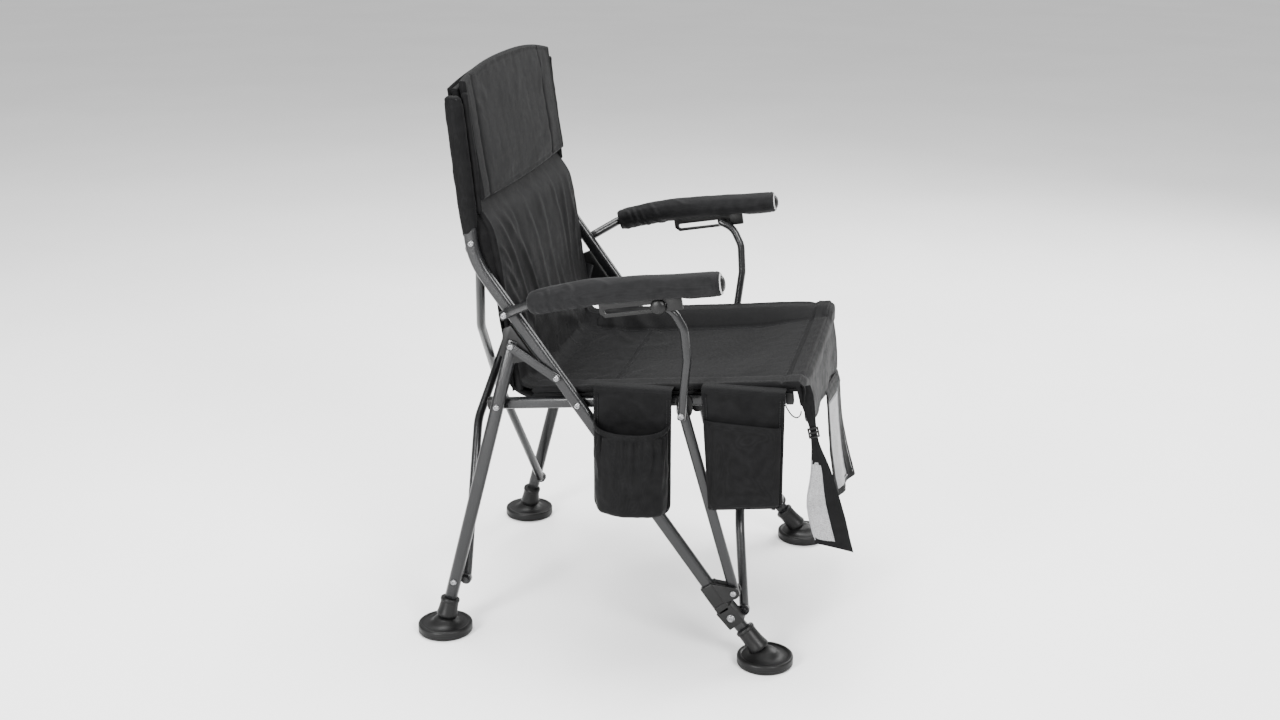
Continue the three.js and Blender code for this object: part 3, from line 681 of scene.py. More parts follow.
FASTENERS = [
    ("rivet_rear_knuckle", 272, (215, 700), "main", RIVET_PROFILE),
    ("rivet_arm_root", 292, (156.5, 587.8), "arm", RIVET_PROFILE),
    ("rivet_link_rear", 277, (151, 531), "link", RIVET_PROFILE),
    ("rivet_link_front", 277, (74, 482), "link", RIVET_PROFILE),
    ("rivet_rail", 272, (40, 435.5), "main", RIVET_PROFILE),
    ("rivet_leg", 272, (179.5, 422), "leg", RIVET_PROFILE),
    ("rivet_strut", 289.4, (-136.6, 436.4), "post", RIVET_PROFILE),
    ("rivet_slider", 279.6, (-226.2, 127.1), "slider", RIVET_PROFILE),
    ("bolt_bracket", 277, (-223, 80), "main", BOLT_PROFILE),
    ("rivet_leg_low", 272, (265, 94.5), "leg", RIVET_PROFILE),
]
for side, sign in SIDES:
    for stem, x, place, body, profile in FASTENERS:
        fastener(f"{stem}_{side}", x, place, sign, f"{body}_{side}", profile)

CAP_LENGTH = 9


def end_cap(name, line, x, sign, section_size, body, at_start):
    """A moulded cap over the open end of a flattened tube."""
    a, b = (np.array(p, float) for p in (line if at_start else line[::-1])[:2])
    out = (a - b) / np.linalg.norm(a - b)
    reach = (-4.0, -3.6, -2.6, CAP_LENGTH - 4, CAP_LENGTH - 2.6, CAP_LENGTH - 2)
    scale = (0.97, 1.0, 1.0, 1.0, 0.94, 0.8)
    path = [(sign * x, *(a + out * r)) for r in reach]
    section = rounded(section_size[0] + 2.4, section_size[1] + 2.4, 6.6)
    piece(name, sweep_mesh(path, section, scale), JOINT, body)


for side, sign in SIDES:
    end_cap(f"rail_cap_front_{side}", RAIL_LINE, RAIL_X, sign, (14, 20), f"rail_{side}", False)
    end_cap(f"rail_cap_rear_{side}", RAIL_LINE, RAIL_X, sign, (14, 20), f"rail_{side}", True)

# ---------------------------------------------------------------- knob, armrest pad and its end
KNOB = np.array((-104, 626))
KNOB_X = 317.1
KNOB_PROFILE = [(0, 0), (10.6, 0), (11.8, 0.5), (12.5, 1.6), (12.5, 2.6), (12.0, 4), (10.4, 5.5), (7.6, 6.7),
                (4, 7.4), (0, 7.6)]
PAD_AXIS = PAD_FRONT - PAD_REAR
PAD_LENGTH = float(np.linalg.norm(PAD_AXIS))
PAD_DIRECTION = np.array((0, *(PAD_AXIS / PAD_LENGTH)))


def rumple(points, wavelength, seed, octaves=3):
    """Smooth repeatable unevenness from -1 to 1 at each point, in the same unit as wavelength."""
    random = np.random.default_rng(seed)
    total, weight = 0, 0
    for octave in range(octaves):
        for _ in range(5):
            direction = random.normal(size=3)
            direction /= np.linalg.norm(direction)
            phase = random.uniform(0, 2 * math.pi)
            step = 2 * math.pi * 2 ** octave / wavelength * random.uniform(0.75, 1.3)
            total = total + np.sin(points @ direction * step + phase) / 2 ** octave
            weight += 1 / 2 ** octave
    return total / weight * 2.2


def eased(x, xs, ys, blur):
    """Piecewise line with its corners rounded over a width of blur."""
    offsets = np.linspace(-1, 1, 9) * blur
    weights = 1 - np.abs(np.linspace(-0.9, 0.9, 9))
    return sum(w * (np.interp(x + o, xs, ys)) for o, w in zip(offsets, weights)) / weights.sum()


def bump_at(distance, width):
    return np.exp(-(distance / width) ** 2)


def fold_lines(lines):
    """Long soft wrinkles. Each is (start, end, height, width, bow) in the panel's own two coordinates."""

    def height(P, Q):
        total = np.zeros_like(P)
        for (a, b), (c, d), amount, width, bow in lines:
            length = math.hypot(c - a, d - b)
            ex, ey = (c - a) / length, (d - b) / length
            t = ((P - a) * ex + (Q - b) * ey) / length
            off = (Q - b) * ex - (P - a) * ey - bow * 4 * np.clip(t, 0, 1) * (1 - np.clip(t, 0, 1))
            taper = np.clip(np.minimum(t, 1 - t) * 4 + 0.15, 0, 1)
            taper = taper * taper * (3 - 2 * taper)
            ridge = bump_at(off, width) - 0.45 * bump_at(off - 1.7 * width, width)
            total += amount * ridge * taper
        return total

    return height


SLOT_DIRECTION = np.array((-306, 50.7)) / np.hypot(306, 50.7)


def arm_axis(along):
    """Points of the arm bar's middle at distances from where its straight front part begins."""
    path = bent(ARM_BAR[1:], ARM_BEND, 14)
    steps = np.concatenate([[0], np.cumsum(np.linalg.norm(np.diff(path, axis=0), axis=1))])
    return np.stack([np.interp(steps[-1] - PAD_LENGTH + along, steps, path[:, k]) for k in range(3)], -1)


def arm_pad(side, sign):
    """Foam tube in a cloth cover, bowed up over the slot plate, gathered where it bends."""
    ends = np.array([0, 0.6, 1.6, 3.2, 5.5])
    along = np.concatenate([ends, np.arange(8, PAD_LENGTH - 7, 2.6), PAD_LENGTH - ends[::-1]])
    around = np.linspace(0, 2 * math.pi, 85)[:-1]
    path = arm_axis(along)
    calm = np.convolve(np.pad(along, 4, mode="edge"), np.ones(9) / 9, mode="valid")
    _, side_vectors, ups = frames_along(arm_axis(calm))
    ups = ups * np.sign(ups[:, 2:])
    lift = np.interp(along, [0, 20, 60, 105, 190, 262, PAD_LENGTH], [0.5, 2.5, 6.5, 8.8, 6.2, 1.8, 0.4])
    lift = np.convolve(np.pad(lift, 6, mode="edge"), np.ones(13) / 13, mode="valid")
    A, T = np.meshgrid(along, around, indexing="ij")
    radius = eased(A, [0, 12, 60, 130, 210, PAD_LENGTH - 6, PAD_LENGTH],
                   [18.4, 19.6, 21.2, 21.4, 20.6, 19.9, 19.2], 8)
    edge = np.minimum(A, PAD_LENGTH - A)
    away = np.clip(edge / 8, 0, 1)
    radius -= 3.2 * np.clip(1 - edge / 5.5, 0, 1) ** 2
    centre = path[:, None]
    outward = np.cos(T)[..., None] * side_vectors[:, None] + np.sin(T)[..., None] * ups[:, None]
    raw = centre + radius[..., None] * outward
    bend = bump_at(A - 35, 45)
    unrest = rumple(raw * (1, 0.5, 1), 24, 11 if side == "left" else 12)
    radius += (0.35 + 0.75 * bend + 0.35 * bump_at(A - 160, 60)) * unrest * away
    turned = np.where(T > math.pi, T - 2 * math.pi, T) * 21
    turned = turned if sign < 0 else -turned + math.pi * 21 * np.sign(turned)
    creases = fold_lines([((18, 25), (34, -30), 1.5, 2.6, 3), ((30, 32), (52, -22), 1.7, 2.8, -3),
                          ((44, 20), (60, -34), 1.4, 2.4, 3), ((58, 34), (84, -10), 1.3, 3.2, 3),
                          ((70, -5), (96, -38), 1.5, 2.6, -3), ((4, 5), (20, -36), 1.1, 2.6, 3),
                          ((100, 30), (140, 8), 0.9, 4.0, 3), ((190, -15), (240, -32), 0.9, 4, 2)])
    radius += creases(A, turned) * away
    lower = np.clip(-np.sin(T), 0, 1)
    near_plate = np.clip(1 - np.abs(A - 190) / 80, 0, 1)
    crimps = np.sin(A / 2.6 + 1.2 * np.sin(T * 3))
    radius += 0.9 * crimps * near_plate * lower ** 2 * np.clip(1.2 - lower, 0, 1)
    radius -= 1.0 * bump_at(A - 9, 1.5) + 0.8 * bump_at(PAD_LENGTH - 9 - A, 1.4)
    shell = centre + radius[..., None] * outward
    shell[..., 2] += lift[:, None]
    local = shell[..., 1:] - KNOB
    slot_along = local @ SLOT_DIRECTION
    above = local[..., 1] - local[..., 0] * SLOT_DIRECTION[1] / SLOT_DIRECTION[0]
    floor_height = 13.4 - 6 * np.clip((np.abs(slot_along + 29) - 69) / 14, 0, 1)
    cut = (np.abs(slot_along + 29) < 82) & (above < floor_height)
    shell[..., 2] = np.where(cut, shell[..., 2] + (floor_height - above), shell[..., 2])
    bore = centre + (ARM_BAR_R + 0.8) * outward
    grid = np.array([bore[0]] + list(shell) + [bore[-1]])
    count, ring = grid.shape[:2]
    faces = ring_faces(count, ring)
    faces += [((count - 1) * ring + j, (count - 1) * ring + (j + 1) % ring, (j + 1) % ring, j)
              for j in range(ring)]
    made = piece(f"armrest_cover_{side}", (flipped(grid.reshape(-1, 3), sign), faces), FOAM, f"arm_{side}",
                 (f"armrest_pad_{side}",), sharp=70)


def arm_end(side, sign):
    """Domed plug in the bar's end, with the foam's pale cut edge round it, inside the cover's rolled hem."""
    start = np.array((sign * ARM_X, *PAD_FRONT))
    axis = flipped(PAD_DIRECTION, sign)
    plug = [(0, 0.5), (10.6, 0.5), (11.6, 1.0), (11.8, 2.2), (10.8, 3.6), (8.2, 4.9), (4.4, 5.7), (0, 5.9)]
    piece(f"armrest_plug_{side}", lathe(plug, start, axis, 36), JOINT, f"arm_{side}",
          (f"armrest_cap_{side}",))
    foam = [(12.4, -0.6), (12.6, 0.5), (13.6, 1.1), (15.2, 1.2), (16.6, 0.5), (16.8, -0.6), (12.4, -0.6)]
    points, faces = lathe(foam, start, axis, 48)
    points = np.asarray(points)
    points = points + axis * (0.35 * rumple(points, 7, 5))[:, None]
    piece(f"armrest_foam_edge_{side}", (points, faces), INNER_FOAM, f"arm_{side}")


for side, sign in SIDES:
    across_up = np.array((-SLOT_DIRECTION[1], SLOT_DIRECTION[0])) * -1
    centre = KNOB + across_up * 3.2
    line = [(sign * 314.1, *(centre + SLOT_DIRECTION * d)) for d in (13, 14.2, 37, 38.6)]
    piece(f"slot_plate_nose_{side}", sweep_mesh(line, rounded(5.4, 24.5, 1.2, 3), (0.9, 1, 1, 0.9)), JOINT,
          f"arm_{side}")
    arm_pad(side, sign)
    arm_end(side, sign)
    piece(f"slot_knob_{side}_dome", lathe(KNOB_PROFILE, (sign * KNOB_X, *KNOB), (sign, 0, 0), 40), JOINT,
          f"post_{side}", (f"slot_knob_{side}",))

# ---------------------------------------------------------------- cloth helpers
RIM = 5.0


def spaced(length, step, rim=RIM):
    """Stations from 0 to length, closer together near both ends."""
    near = np.array([0, 0.12, 0.35, 0.65, 1.0]) * rim
    middle = np.linspace(near[-1], length - near[-1], max(2, int(round((length - 2 * rim) / step)) + 1))
    return np.concatenate([near[:-1], middle, length - near[:-1][::-1]])


def unit(vectors):
    return vectors / np.maximum(np.linalg.norm(vectors, axis=-1, keepdims=True), 1e-9)


def cloth_slab(surface, size, step, thick, relief=None, rim=RIM, both=False):
    """A closed cloth panel in mm. surface(u, v) is its middle; relief(S, U, V, edge) raises its front."""
    us, vs = (spaced(length, step, rim) / length for length in size)
    U, V = np.meshgrid(us, vs, indexing="ij")
    S = surface(U, V)
    normal = unit(np.cross(np.gradient(S, us, axis=0), np.gradient(S, vs, axis=1)))
    along = np.cumsum(np.linalg.norm(np.diff(S, axis=0, prepend=S[:1]), axis=2), axis=0)
    across = np.cumsum(np.linalg.norm(np.diff(S, axis=1, prepend=S[:, :1]), axis=2), axis=1)
    edge = np.minimum.reduce([along, along[-1:] - along, across, across[:, -1:] - across])
    round_off = np.sqrt(np.clip(1 - (1 - np.clip(edge / rim, 0, 1)) ** 2, 0.012, 1))
    half = thick(S, U, V, edge) / 2 if callable(thick) else thick / 2
    lift = relief(S, U, V, edge) if relief else 0
    front = S + normal * (half * round_off + lift * np.clip(edge / 2, 0, 1))[..., None]
    back = S - normal * (half * round_off - (lift * np.clip(edge / 2, 0, 1) if both else 0))[..., None]
    n, m = U.shape
    index = np.arange(n * m).reshape(n, m)
    faces = [(index[i, j], index[i + 1, j], index[i + 1, j + 1], index[i, j + 1]) for i in range(n - 1)
             for j in range(m - 1)]
    faces += [tuple(k + n * m for k in face[::-1]) for face in faces]
    rim_line = [*index[:, 0], *index[-1, 1:], *index[:-1, -1][::-1], *index[0, 1:-1][::-1]]
    faces += [(b, a, a + n * m, b + n * m) for a, b in zip(rim_line, rim_line[1:] + rim_line[:1])]
    return np.concatenate([front.reshape(-1, 3), back.reshape(-1, 3)]), faces


def uneven(amount, wavelength, seed):
    """A relief of soft unevenness only."""
    return lambda S, U, V, edge: amount * rumple(S, wavelength, seed)


def cloth(name, shape, material, body, replaces=(), squash=None):
    return piece(name, shape, material, body, replaces, 75, squash)


def sewn_edge(edge, width=9.0, height=0.7):
    """The raised hem round a panel, with the groove of its seam."""
    hem = height * (1 / (1 + np.exp((edge - width) / 0.5)))
    return hem - 1.1 * bump_at(edge - width - 0.8, 1.1)


def stitches(name, line, normals, body, squash, pitch=4.2, length=2.8):
    """A row of thread stitches along a line, in mm, lying on the cloth."""
    line, normals = np.asarray(line, float), np.asarray(normals, float)
    steps = np.concatenate([[0], np.cumsum(np.linalg.norm(np.diff(line, axis=0), axis=1))])
    centres = np.arange(pitch, steps[-1] - pitch, pitch)
    sampled = [np.stack([np.interp(s, steps, line[:, k]) for k in range(3)], 1)
               for s in (centres - length / 2, centres + length / 2)]
    up = unit(np.stack([np.interp(centres, steps, normals[:, k]) for k in range(3)], 1))
    parts = []
    for a, b, n in zip(*sampled, up):
        middle = (a + b) / 2 + n * 0.35
        path = [a - n * 0.1, a + (middle - a) * 0.5 + n * 0.2, middle, b + (middle - b) * 0.5 + n * 0.2,
                b - n * 0.1]
        across = np.cross(b - a, n)
        parts.append(sweep_mesh(path, circle(0.42, 6), (0.5, 1, 1, 1, 0.5), across=across))
    return piece(name, merged(parts), THREAD, body, sharp=80, squash=squash)


def tape(name, line, normals, width, thick, body, squash):
    """A flat sewn tape along a line, in mm, its face towards normals."""
    line, normals = np.asarray(line, float), np.asarray(normals, float)
    tangent = unit(np.gradient(line, axis=0))
    side = unit(np.cross(tangent, normals))
    up = np.cross(side, tangent)
    section = rounded(width, thick, thick * 0.45, 2)
    rings = line[:, None] + section[None, :, :1] * side[:, None] + section[None, :, 1:] * up[:, None]
    n, m = rings.shape[:2]
    shape = rings.reshape(-1, 3), ring_faces(n, m) + end_faces(n, m)
    return piece(name, shape, TAPE, body, squash=squash)


# ---------------------------------------------------------------- seat
SEAT_HALF, SEAT_FRONT, SEAT_REAR, SEAT_SAG = 254, -324, 122, 34
PAD_T, SLING_T, HEATER_T, GAP = 12, 3, 1.6, 0.35
PAD_UNDER = SLING_T + HEATER_T + 2 * GAP


def rail_top(y):
    return np.interp(y, [-306, 193], [467.6, 421.3]) + (np.minimum(y + 306, 0)) * (421.3 - 467.6) / 499 + 10.1


def seat_middle(x, y):
    sag_across = eased(np.abs(x), [0, 180, 213, 254], [1, 0.88, 0, 0], 9)
    sag_along = eased(y, [-324, -200, 40, 122], [0.35, 1, 1, 0.7], 25)
    return rail_top(y) + 1.4 - sag_across * sag_along * SEAT_SAG


def seat_sheet(height, x_span, y_span):
    def surface(U, V):
        x = x_span[0] + (x_span[1] - x_span[0]) * U
        y = y_span[0] + (y_span[1] - y_span[0]) * V
        return np.stack([x, y, seat_middle(x, y) + height], -1)
    return surface


SEAT_SEAM_X = 183
seat_wrinkles = fold_lines([
    ((-228, 95), (-95, 20), 3.2, 9, 6), ((-222, 70), (-120, -25), 2.6, 8, -5),
    ((-230, 110), (-60, 75), 2.8, 8, 4), ((-215, 40), (-165, -70), 2.0, 8, 6),
    ((-60, 112), (40, 60), 2.2, 9, -4), ((225, 95), (100, 30), 3.0, 10, -6),
    ((220, 60), (130, -30), 2.2, 9, 5), ((30, 105), (150, 75), 2.4, 9, 5),
    ((-150, 5), (-40, -50), 1.3, 11, 4), ((-120, 100), (-100, 40), 2.0, 9, 0),
    ((60, 40), (90, -60), 1.0, 14, 0), ((-205, -120), (-195, -250), 0.8, 10, 0),
])


def seat_relief(S, U, V, edge):
    x, y = S[..., 0], S[..., 1]
    flat = np.stack([x, y, 0 * x], -1)
    seam = np.abs(np.abs(x) - SEAT_SEAM_X)
    front_seam = np.abs(y - (SEAT_FRONT + 30))
    cross_seam = np.where(np.abs(x) < SEAT_SEAM_X, np.abs(y - 8), 1e3)
    height = seat_wrinkles(x, y)
    height += 0.8 * rumple(flat, 120, 21) + 0.22 * rumple(flat, 26, 22)
    near_seam = np.minimum(np.minimum(seam, front_seam), cross_seam)
    pucker = np.sin((x + y) / 2.7 + 1.5 * np.sin(y / 19) + 1.2 * np.sin(x / 17))
    height += 0.42 * pucker * np.exp(-near_seam / 7) * (near_seam > 0.5)
    height -= 2.3 * bump_at(near_seam, 1.9) + 1.2 * bump_at(near_seam, 9)
    crown = np.clip(1 - (x / SEAT_SEAM_X) ** 4, 0, 1) * np.clip((y - SEAT_FRONT - 30) / 30, 0, 1)
    height += 1.6 * crown
    return height + sewn_edge(edge, 10)


seat_size = (2 * SEAT_HALF, SEAT_REAR - SEAT_FRONT)
seat_mid_height = PAD_UNDER + PAD_T / 2
seat_area = ((-SEAT_HALF, SEAT_HALF), (SEAT_FRONT, SEAT_REAR))
seat_shape = cloth_slab(seat_sheet(seat_mid_height, *seat_area), seat_size, 3.6, PAD_T - 1.5, seat_relief)
seat_pad = cloth("seat_cushion", seat_shape, CLOTH, "seat", ("seat_cover",), ACROSS)
sling_shape = cloth_slab(seat_sheet(SLING_T / 2, *seat_area), seat_size, 9, SLING_T, uneven(0.4, 90, 31),
                         1.5)
seat_under = cloth("seat_sling_cloth", sling_shape, SLING, "seat", ("seat_sling",), ACROSS)
heater_y = [SEAT_FRONT + seat_size[1] / 6, SEAT_FRONT + seat_size[1] * 5 / 6]
felt_shape = cloth_slab(seat_sheet(SLING_T + GAP + HEATER_T / 2, (-135, 135), heater_y),
                        (270, heater_y[1] - heater_y[0]), 9, HEATER_T, rim=0.8)
seat_heater = cloth("seat_heater_felt", felt_shape, FELT, "seat", ("seat_heating_pad",), ACROSS)

# ---------------------------------------------------------------- back
BACK_HALF, BACK_LOW, BACK_TOP, ARCH = 252, 446, 946, 19
BACK_Z = [446, 572, 661, 724, 762, 970]
BACK_Y = [139, 160, 171, 184, 211, 240]


def back_front(z):
    return eased(z, BACK_Z, BACK_Y, 20)


def back_sheet(depth, half, rise_span=(0, 1)):
    def surface(U, V):
        x = -half + 2 * half * U
        rise = rise_span[0] + (rise_span[1] - rise_span[0]) * V
        top = BACK_TOP + ARCH * (1 - (x / BACK_HALF) ** 2)
        z = BACK_LOW + rise * (top - BACK_LOW)
        return np.stack([x, back_front(z) + depth, z], -1)
    return surface


back_wrinkles = fold_lines([
    ((-225, 735), (-120, 520), 4.2, 8, 14), ((-190, 742), (-60, 540), 3.4, 9, 10),
    ((-150, 745), (-30, 500), 2.8, 9, -8), ((-70, 745), (10, 500), 2.6, 11, 6),
    ((20, 745), (70, 490), 2.4, 12, -6), ((110, 745), (140, 520), 3.0, 10, 6),
    ((180, 740), (160, 500), 3.2, 9, -5), ((215, 730), (205, 540), 2.6, 8, 4),
    ((-240, 690), (-190, 640), 3.6, 6, 3), ((-242, 665), (-175, 600), 3.2, 7, 4),
    ((-238, 640), (-150, 540), 3.0, 8, -3), ((-230, 470), (-60, 560), 3.4, 10, 8),
    ((-180, 455), (-40, 500), 3.0, 9, 5), ((225, 470), (90, 545), 3.2, 10, -8),
    ((150, 455), (20, 500), 2.6, 10, -5), ((-210, 600), (-110, 470), 2.6, 8, 4),
    ((60, 620), (110, 470), 2.0, 10, 3), ((238, 690), (200, 600), 2.8, 7, -3),
])


def back_relief(S, U, V, edge):
    x, z = S[..., 0], S[..., 2]
    flat = np.stack([x, z, 0 * x], -1)
    height = 0.75 * back_wrinkles(x, z) * np.clip((752 - z) / 10, 0, 1)
    height += 1.0 * rumple(flat, 110, 41) + 0.25 * rumple(flat, 24, 42)
    return height + sewn_edge(edge, 9)


back_size = (2 * BACK_HALF, BACK_TOP - BACK_LOW + ARCH)
back_shape = cloth_slab(back_sheet(PAD_T / 2, BACK_HALF), back_size, 3.6, PAD_T - 1.5, back_relief)
back_pad = cloth("back_cushion", back_shape, CLOTH, "back", ("back_cover",), ACROSS)
behind = PAD_T + HEATER_T + 2 * GAP
sling_shape = cloth_slab(back_sheet(behind + SLING_T / 2, BACK_HALF), back_size, 6, SLING_T,
                         lambda S, U, V, e: 0.8 * rumple(S, 100, 51) + 0.5 * sewn_edge(e), 1.5, both=True)
back_under = cloth("back_sling_cloth", sling_shape, SLING, "back", ("back_sling",), ACROSS)
felt_shape = cloth_slab(back_sheet(PAD_T + GAP + HEATER_T / 2, 126, (0.2, 0.6)), (252, 205), 9, HEATER_T,
                        rim=0.8)
back_heater = cloth("back_heater_felt", felt_shape, FELT, "back", ("back_heating_pad",), ACROSS)

HEAD_HALF, HEAD_LOW, HEAD_TOP, HEAD_T = 252, 762, 958, 11


def head_surface(U, V):
    x = -HEAD_HALF + 2 * HEAD_HALF * U
    low = HEAD_LOW + 6 * (x / HEAD_HALF) ** 2
    z = low + (HEAD_TOP + 20 * (1 - (np.abs(x) / HEAD_HALF) ** 2.4) - low) * V
    wrap = np.clip((np.abs(x) - HEAD_HALF + 34) / 34, 0, 1)
    y = eased(z, [772, 870, 990], [198, 214, 231], 18) + 4.75 - 1.5 * wrap * wrap
    return np.stack([x, y, z], -1)


def head_relief(S, U, V, edge):
    x, z = S[..., 0], S[..., 2]
    flat = np.stack([x, z, 0 * x], -1)
    folds = fold_lines([((-200, 950), (-150, 910), 0.8, 9, 3), ((-190, 780), (-60, 800), 1.2, 10, -4),
                        ((60, 780), (200, 800), 1.6, 10, 4), ((190, 950), (150, 880), 1.6, 9, 2),
                        ((40, 960), (20, 900), 1.0, 12, 0)])
    seam = np.minimum(np.abs(x - 178), np.abs(x + 212))
    pucker = 0.3 * np.sin(z / 2.9 + 1.5 * np.sin(z / 17)) * np.exp(-seam / 6)
    soft = 0.7 * rumple(flat, 100, 61) + 0.2 * rumple(flat, 24, 62) + 2.2 * np.clip(edge / 60, 0, 1)
    groove = 2.4 * bump_at(seam, 1.8) + 0.9 * bump_at(seam, 8)
    return folds(x, z) + soft + pucker - groove + sewn_edge(edge, 8)


head_size = (2 * HEAD_HALF, HEAD_TOP - HEAD_LOW + 12)
headrest = cloth("headrest_panel", cloth_slab(head_surface, head_size, 3.4, HEAD_T, head_relief), CLOTH,
                 "back", ("headrest",), ACROSS)

# Sleeves that hold the back on the main tubes' upper ends: a wide one with a narrow welt in front of it.
ROLL_LOW, ROLL_HIGH = 752, 936


def sleeve(sign):
    z = np.concatenate([[ROLL_LOW, ROLL_LOW + 0.6, ROLL_LOW + 2], np.arange(ROLL_LOW + 5, ROLL_HIGH - 5, 3.2),
                        [ROLL_HIGH - 4, ROLL_HIGH - 1.2, ROLL_HIGH]])
    y = np.interp(z, [672.4, 932], [213.3, 240.3])
    around = np.linspace(0, 2 * math.pi, 49)[:-1]
    Z, T = np.meshgrid(z, around, indexing="ij")
    radius_x, radius_y = 11.6, 15.4
    cx = sign * (MAIN_X - 0.8)
    x = cx + sign * radius_x * np.cos(T)
    yy = y[:, None] - radius_y * np.sin(T)
    P = np.stack([x, yy, Z], -1)
    end = np.minimum(Z - ROLL_LOW, ROLL_HIGH - Z)
    out = unit(np.stack([sign * np.cos(T), -np.sin(T), 0 * T], -1))
    shrink = 3.0 * np.clip(1 - end / 4, 0, 1) ** 2 + 4.0 * np.clip(1 - (ROLL_HIGH - Z) / 14, 0, 1) ** 2
    lift = 0.7 * rumple(P, 40, 71 if sign > 0 else 72) * np.clip(end / 10, 0, 1) - shrink
    lift -= 1.6 * bump_at(T - math.pi * 0.62, 0.12) + 0.9 * bump_at(end - 9, 1.3)
    P = P + out * lift[..., None]
    return P.reshape(-1, 3), ring_faces(*Z.shape) + end_faces(*Z.shape)


def tube_y(z):
    return np.interp(z, [98, 672.4, 932], [-207, 213.3, 240.3])


def cuff(sign):
    """Loose cloth round the tube between the sleeve and the knuckle, cut at a slant."""
    V, T = np.meshgrid(np.linspace(0, 1, 18), np.linspace(0, 2 * math.pi, 41)[:-1], indexing="ij")
    low = 716 + 9 * np.sin(T)
    z = low + (758 - low) * V
    rx, ry = 9.6 + 1.6 * V, 13.0 + 2.2 * V
    P = np.stack([sign * (MAIN_X - 0.6) + sign * rx * np.cos(T), tube_y(z) - ry * np.sin(T), z], -1)
    out = unit(np.stack([sign * np.cos(T), -np.sin(T), 0 * T], -1))
    P = P + out * (0.7 * rumple(P, 26, 75) * np.sin(math.pi * V) - 1.4 * np.clip(1 - V * 9, 0, 1))[..., None]
    return P.reshape(-1, 3), ring_faces(*T.shape) + end_faces(*T.shape)


def welt_line(sign):
    z = np.linspace(ROLL_LOW - 6, ROLL_HIGH + 4, 60)
    return np.stack([np.full(60, sign * (MAIN_X - 11.5)), tube_y(z) - 16.5 + 0.8 * np.sin(z / 23), z], -1)


for side, sign in SIDES:
    piece(f"back_sleeve_{side}", sleeve(sign), CLOTH, f"main_{side}", sharp=75)
    piece(f"back_cuff_{side}", cuff(sign), CLOTH, f"main_{side}", sharp=75)
    line = welt_line(sign)
    swell = 1 + 0.07 * rumple(line, 30, 77)
    swell[[0, -1]] = 0.6
    piece(f"back_welt_{side}", sweep_mesh(line, circle(6.0, 18), swell), CLOTH, f"main_{side}", sharp=75)


def side_gusset(sign):
    """Cloth from the back cushion's side round to the main tube."""
    def surface(U, V):
        z = 588 + 172 * V
        front_x, front_y = 247, back_front(z) + 9
        rear_x, rear_y = 257, np.maximum(tube_y(z) - 8, front_y + 2)
        bulge = 3.5 * np.sin(math.pi * U)
        x = front_x + (rear_x - front_x) * U + bulge
        return np.stack([sign * x, front_y + (rear_y - front_y) * U, z], -1)
    return surface


def crease_surface(U, V):
    """Cloth that joins the seat's rear edge to the foot of the back."""
    x = -247 + 494 * U
    seat_z = seat_middle(x, np.full_like(x, 108)) + PAD_UNDER + PAD_T - 4
    y0, z0, y2, z2 = 106, seat_z, back_front(np.full_like(x, 478)) + 3, np.full_like(x, 478)
    y1, z1 = y2 + 3, np.minimum(z0 + 6, 446)
    y = (1 - V) ** 2 * y0 + 2 * V * (1 - V) * y1 + V * V * y2
    z = (1 - V) ** 2 * z0 + 2 * V * (1 - V) * z1 + V * V * z2
    return np.stack([x, y, z], -1)


for side, sign in SIDES:
    gusset = side_gusset(sign)
    cloth(f"back_gusset_{side}", cloth_slab(gusset, (26, 172), 2.5, 2.6, uneven(1.2, 38, 78), 1.2, both=True),
          CLOTH, "back", (), ACROSS)


def under_surface(U, V):
    """Cloth under the joint of seat and back."""
    x = -253 + 506 * U
    z0 = seat_middle(x, np.full_like(x, 100)) - 2
    y = (1 - V) ** 2 * 98 + 2 * V * (1 - V) * 146 + V * V * 162
    z = (1 - V) ** 2 * z0 + 2 * V * (1 - V) * (z0 - 7) + V * V * 462
    return np.stack([x, y, z], -1)


cloth("seat_back_under", cloth_slab(under_surface, (506, 76), 4, 4.0, uneven(1.2, 70, 80), 2, both=True),
      CLOTH, "seat", (), ACROSS)
crease_folds = fold_lines([((-150, 0.9), (-120, 0.1), 2.0, 9, 0), ((-90, 1), (-70, 0), 1.6, 8, 0),
                           ((-20, 1), (0, 0), 1.4, 9, 0), ((70, 1), (60, 0), 1.8, 9, 0),
                           ((150, 1), (120, 0), 2.0, 10, 0), ((-215, 1), (-190, 0), 2.2, 9, 0),
                           ((215, 1), (200, 0), 2.0, 9, 0)])
crease_shape = cloth_slab(crease_surface, (494, 62), 4, 5.0,
                          lambda S, U, V, e: 1.4 * rumple(S, 60, 79) + crease_folds(S[..., 0], V), 2.4,
                          both=True)
cloth("seat_back_crease", crease_shape, CLOTH, "seat", (), ACROSS)

# ---------------------------------------------------------------- side pockets
POCKET_X, WALL, LIP_X = 277, 2.4, 254.8
CUP_Y, CUP_Z, CUP_MOUTH = (-119, 11), (262, 476), 402
FLAT_Y, FLAT_Z, FLAT_MOUTH = (-303, -167), (282, 486), 433


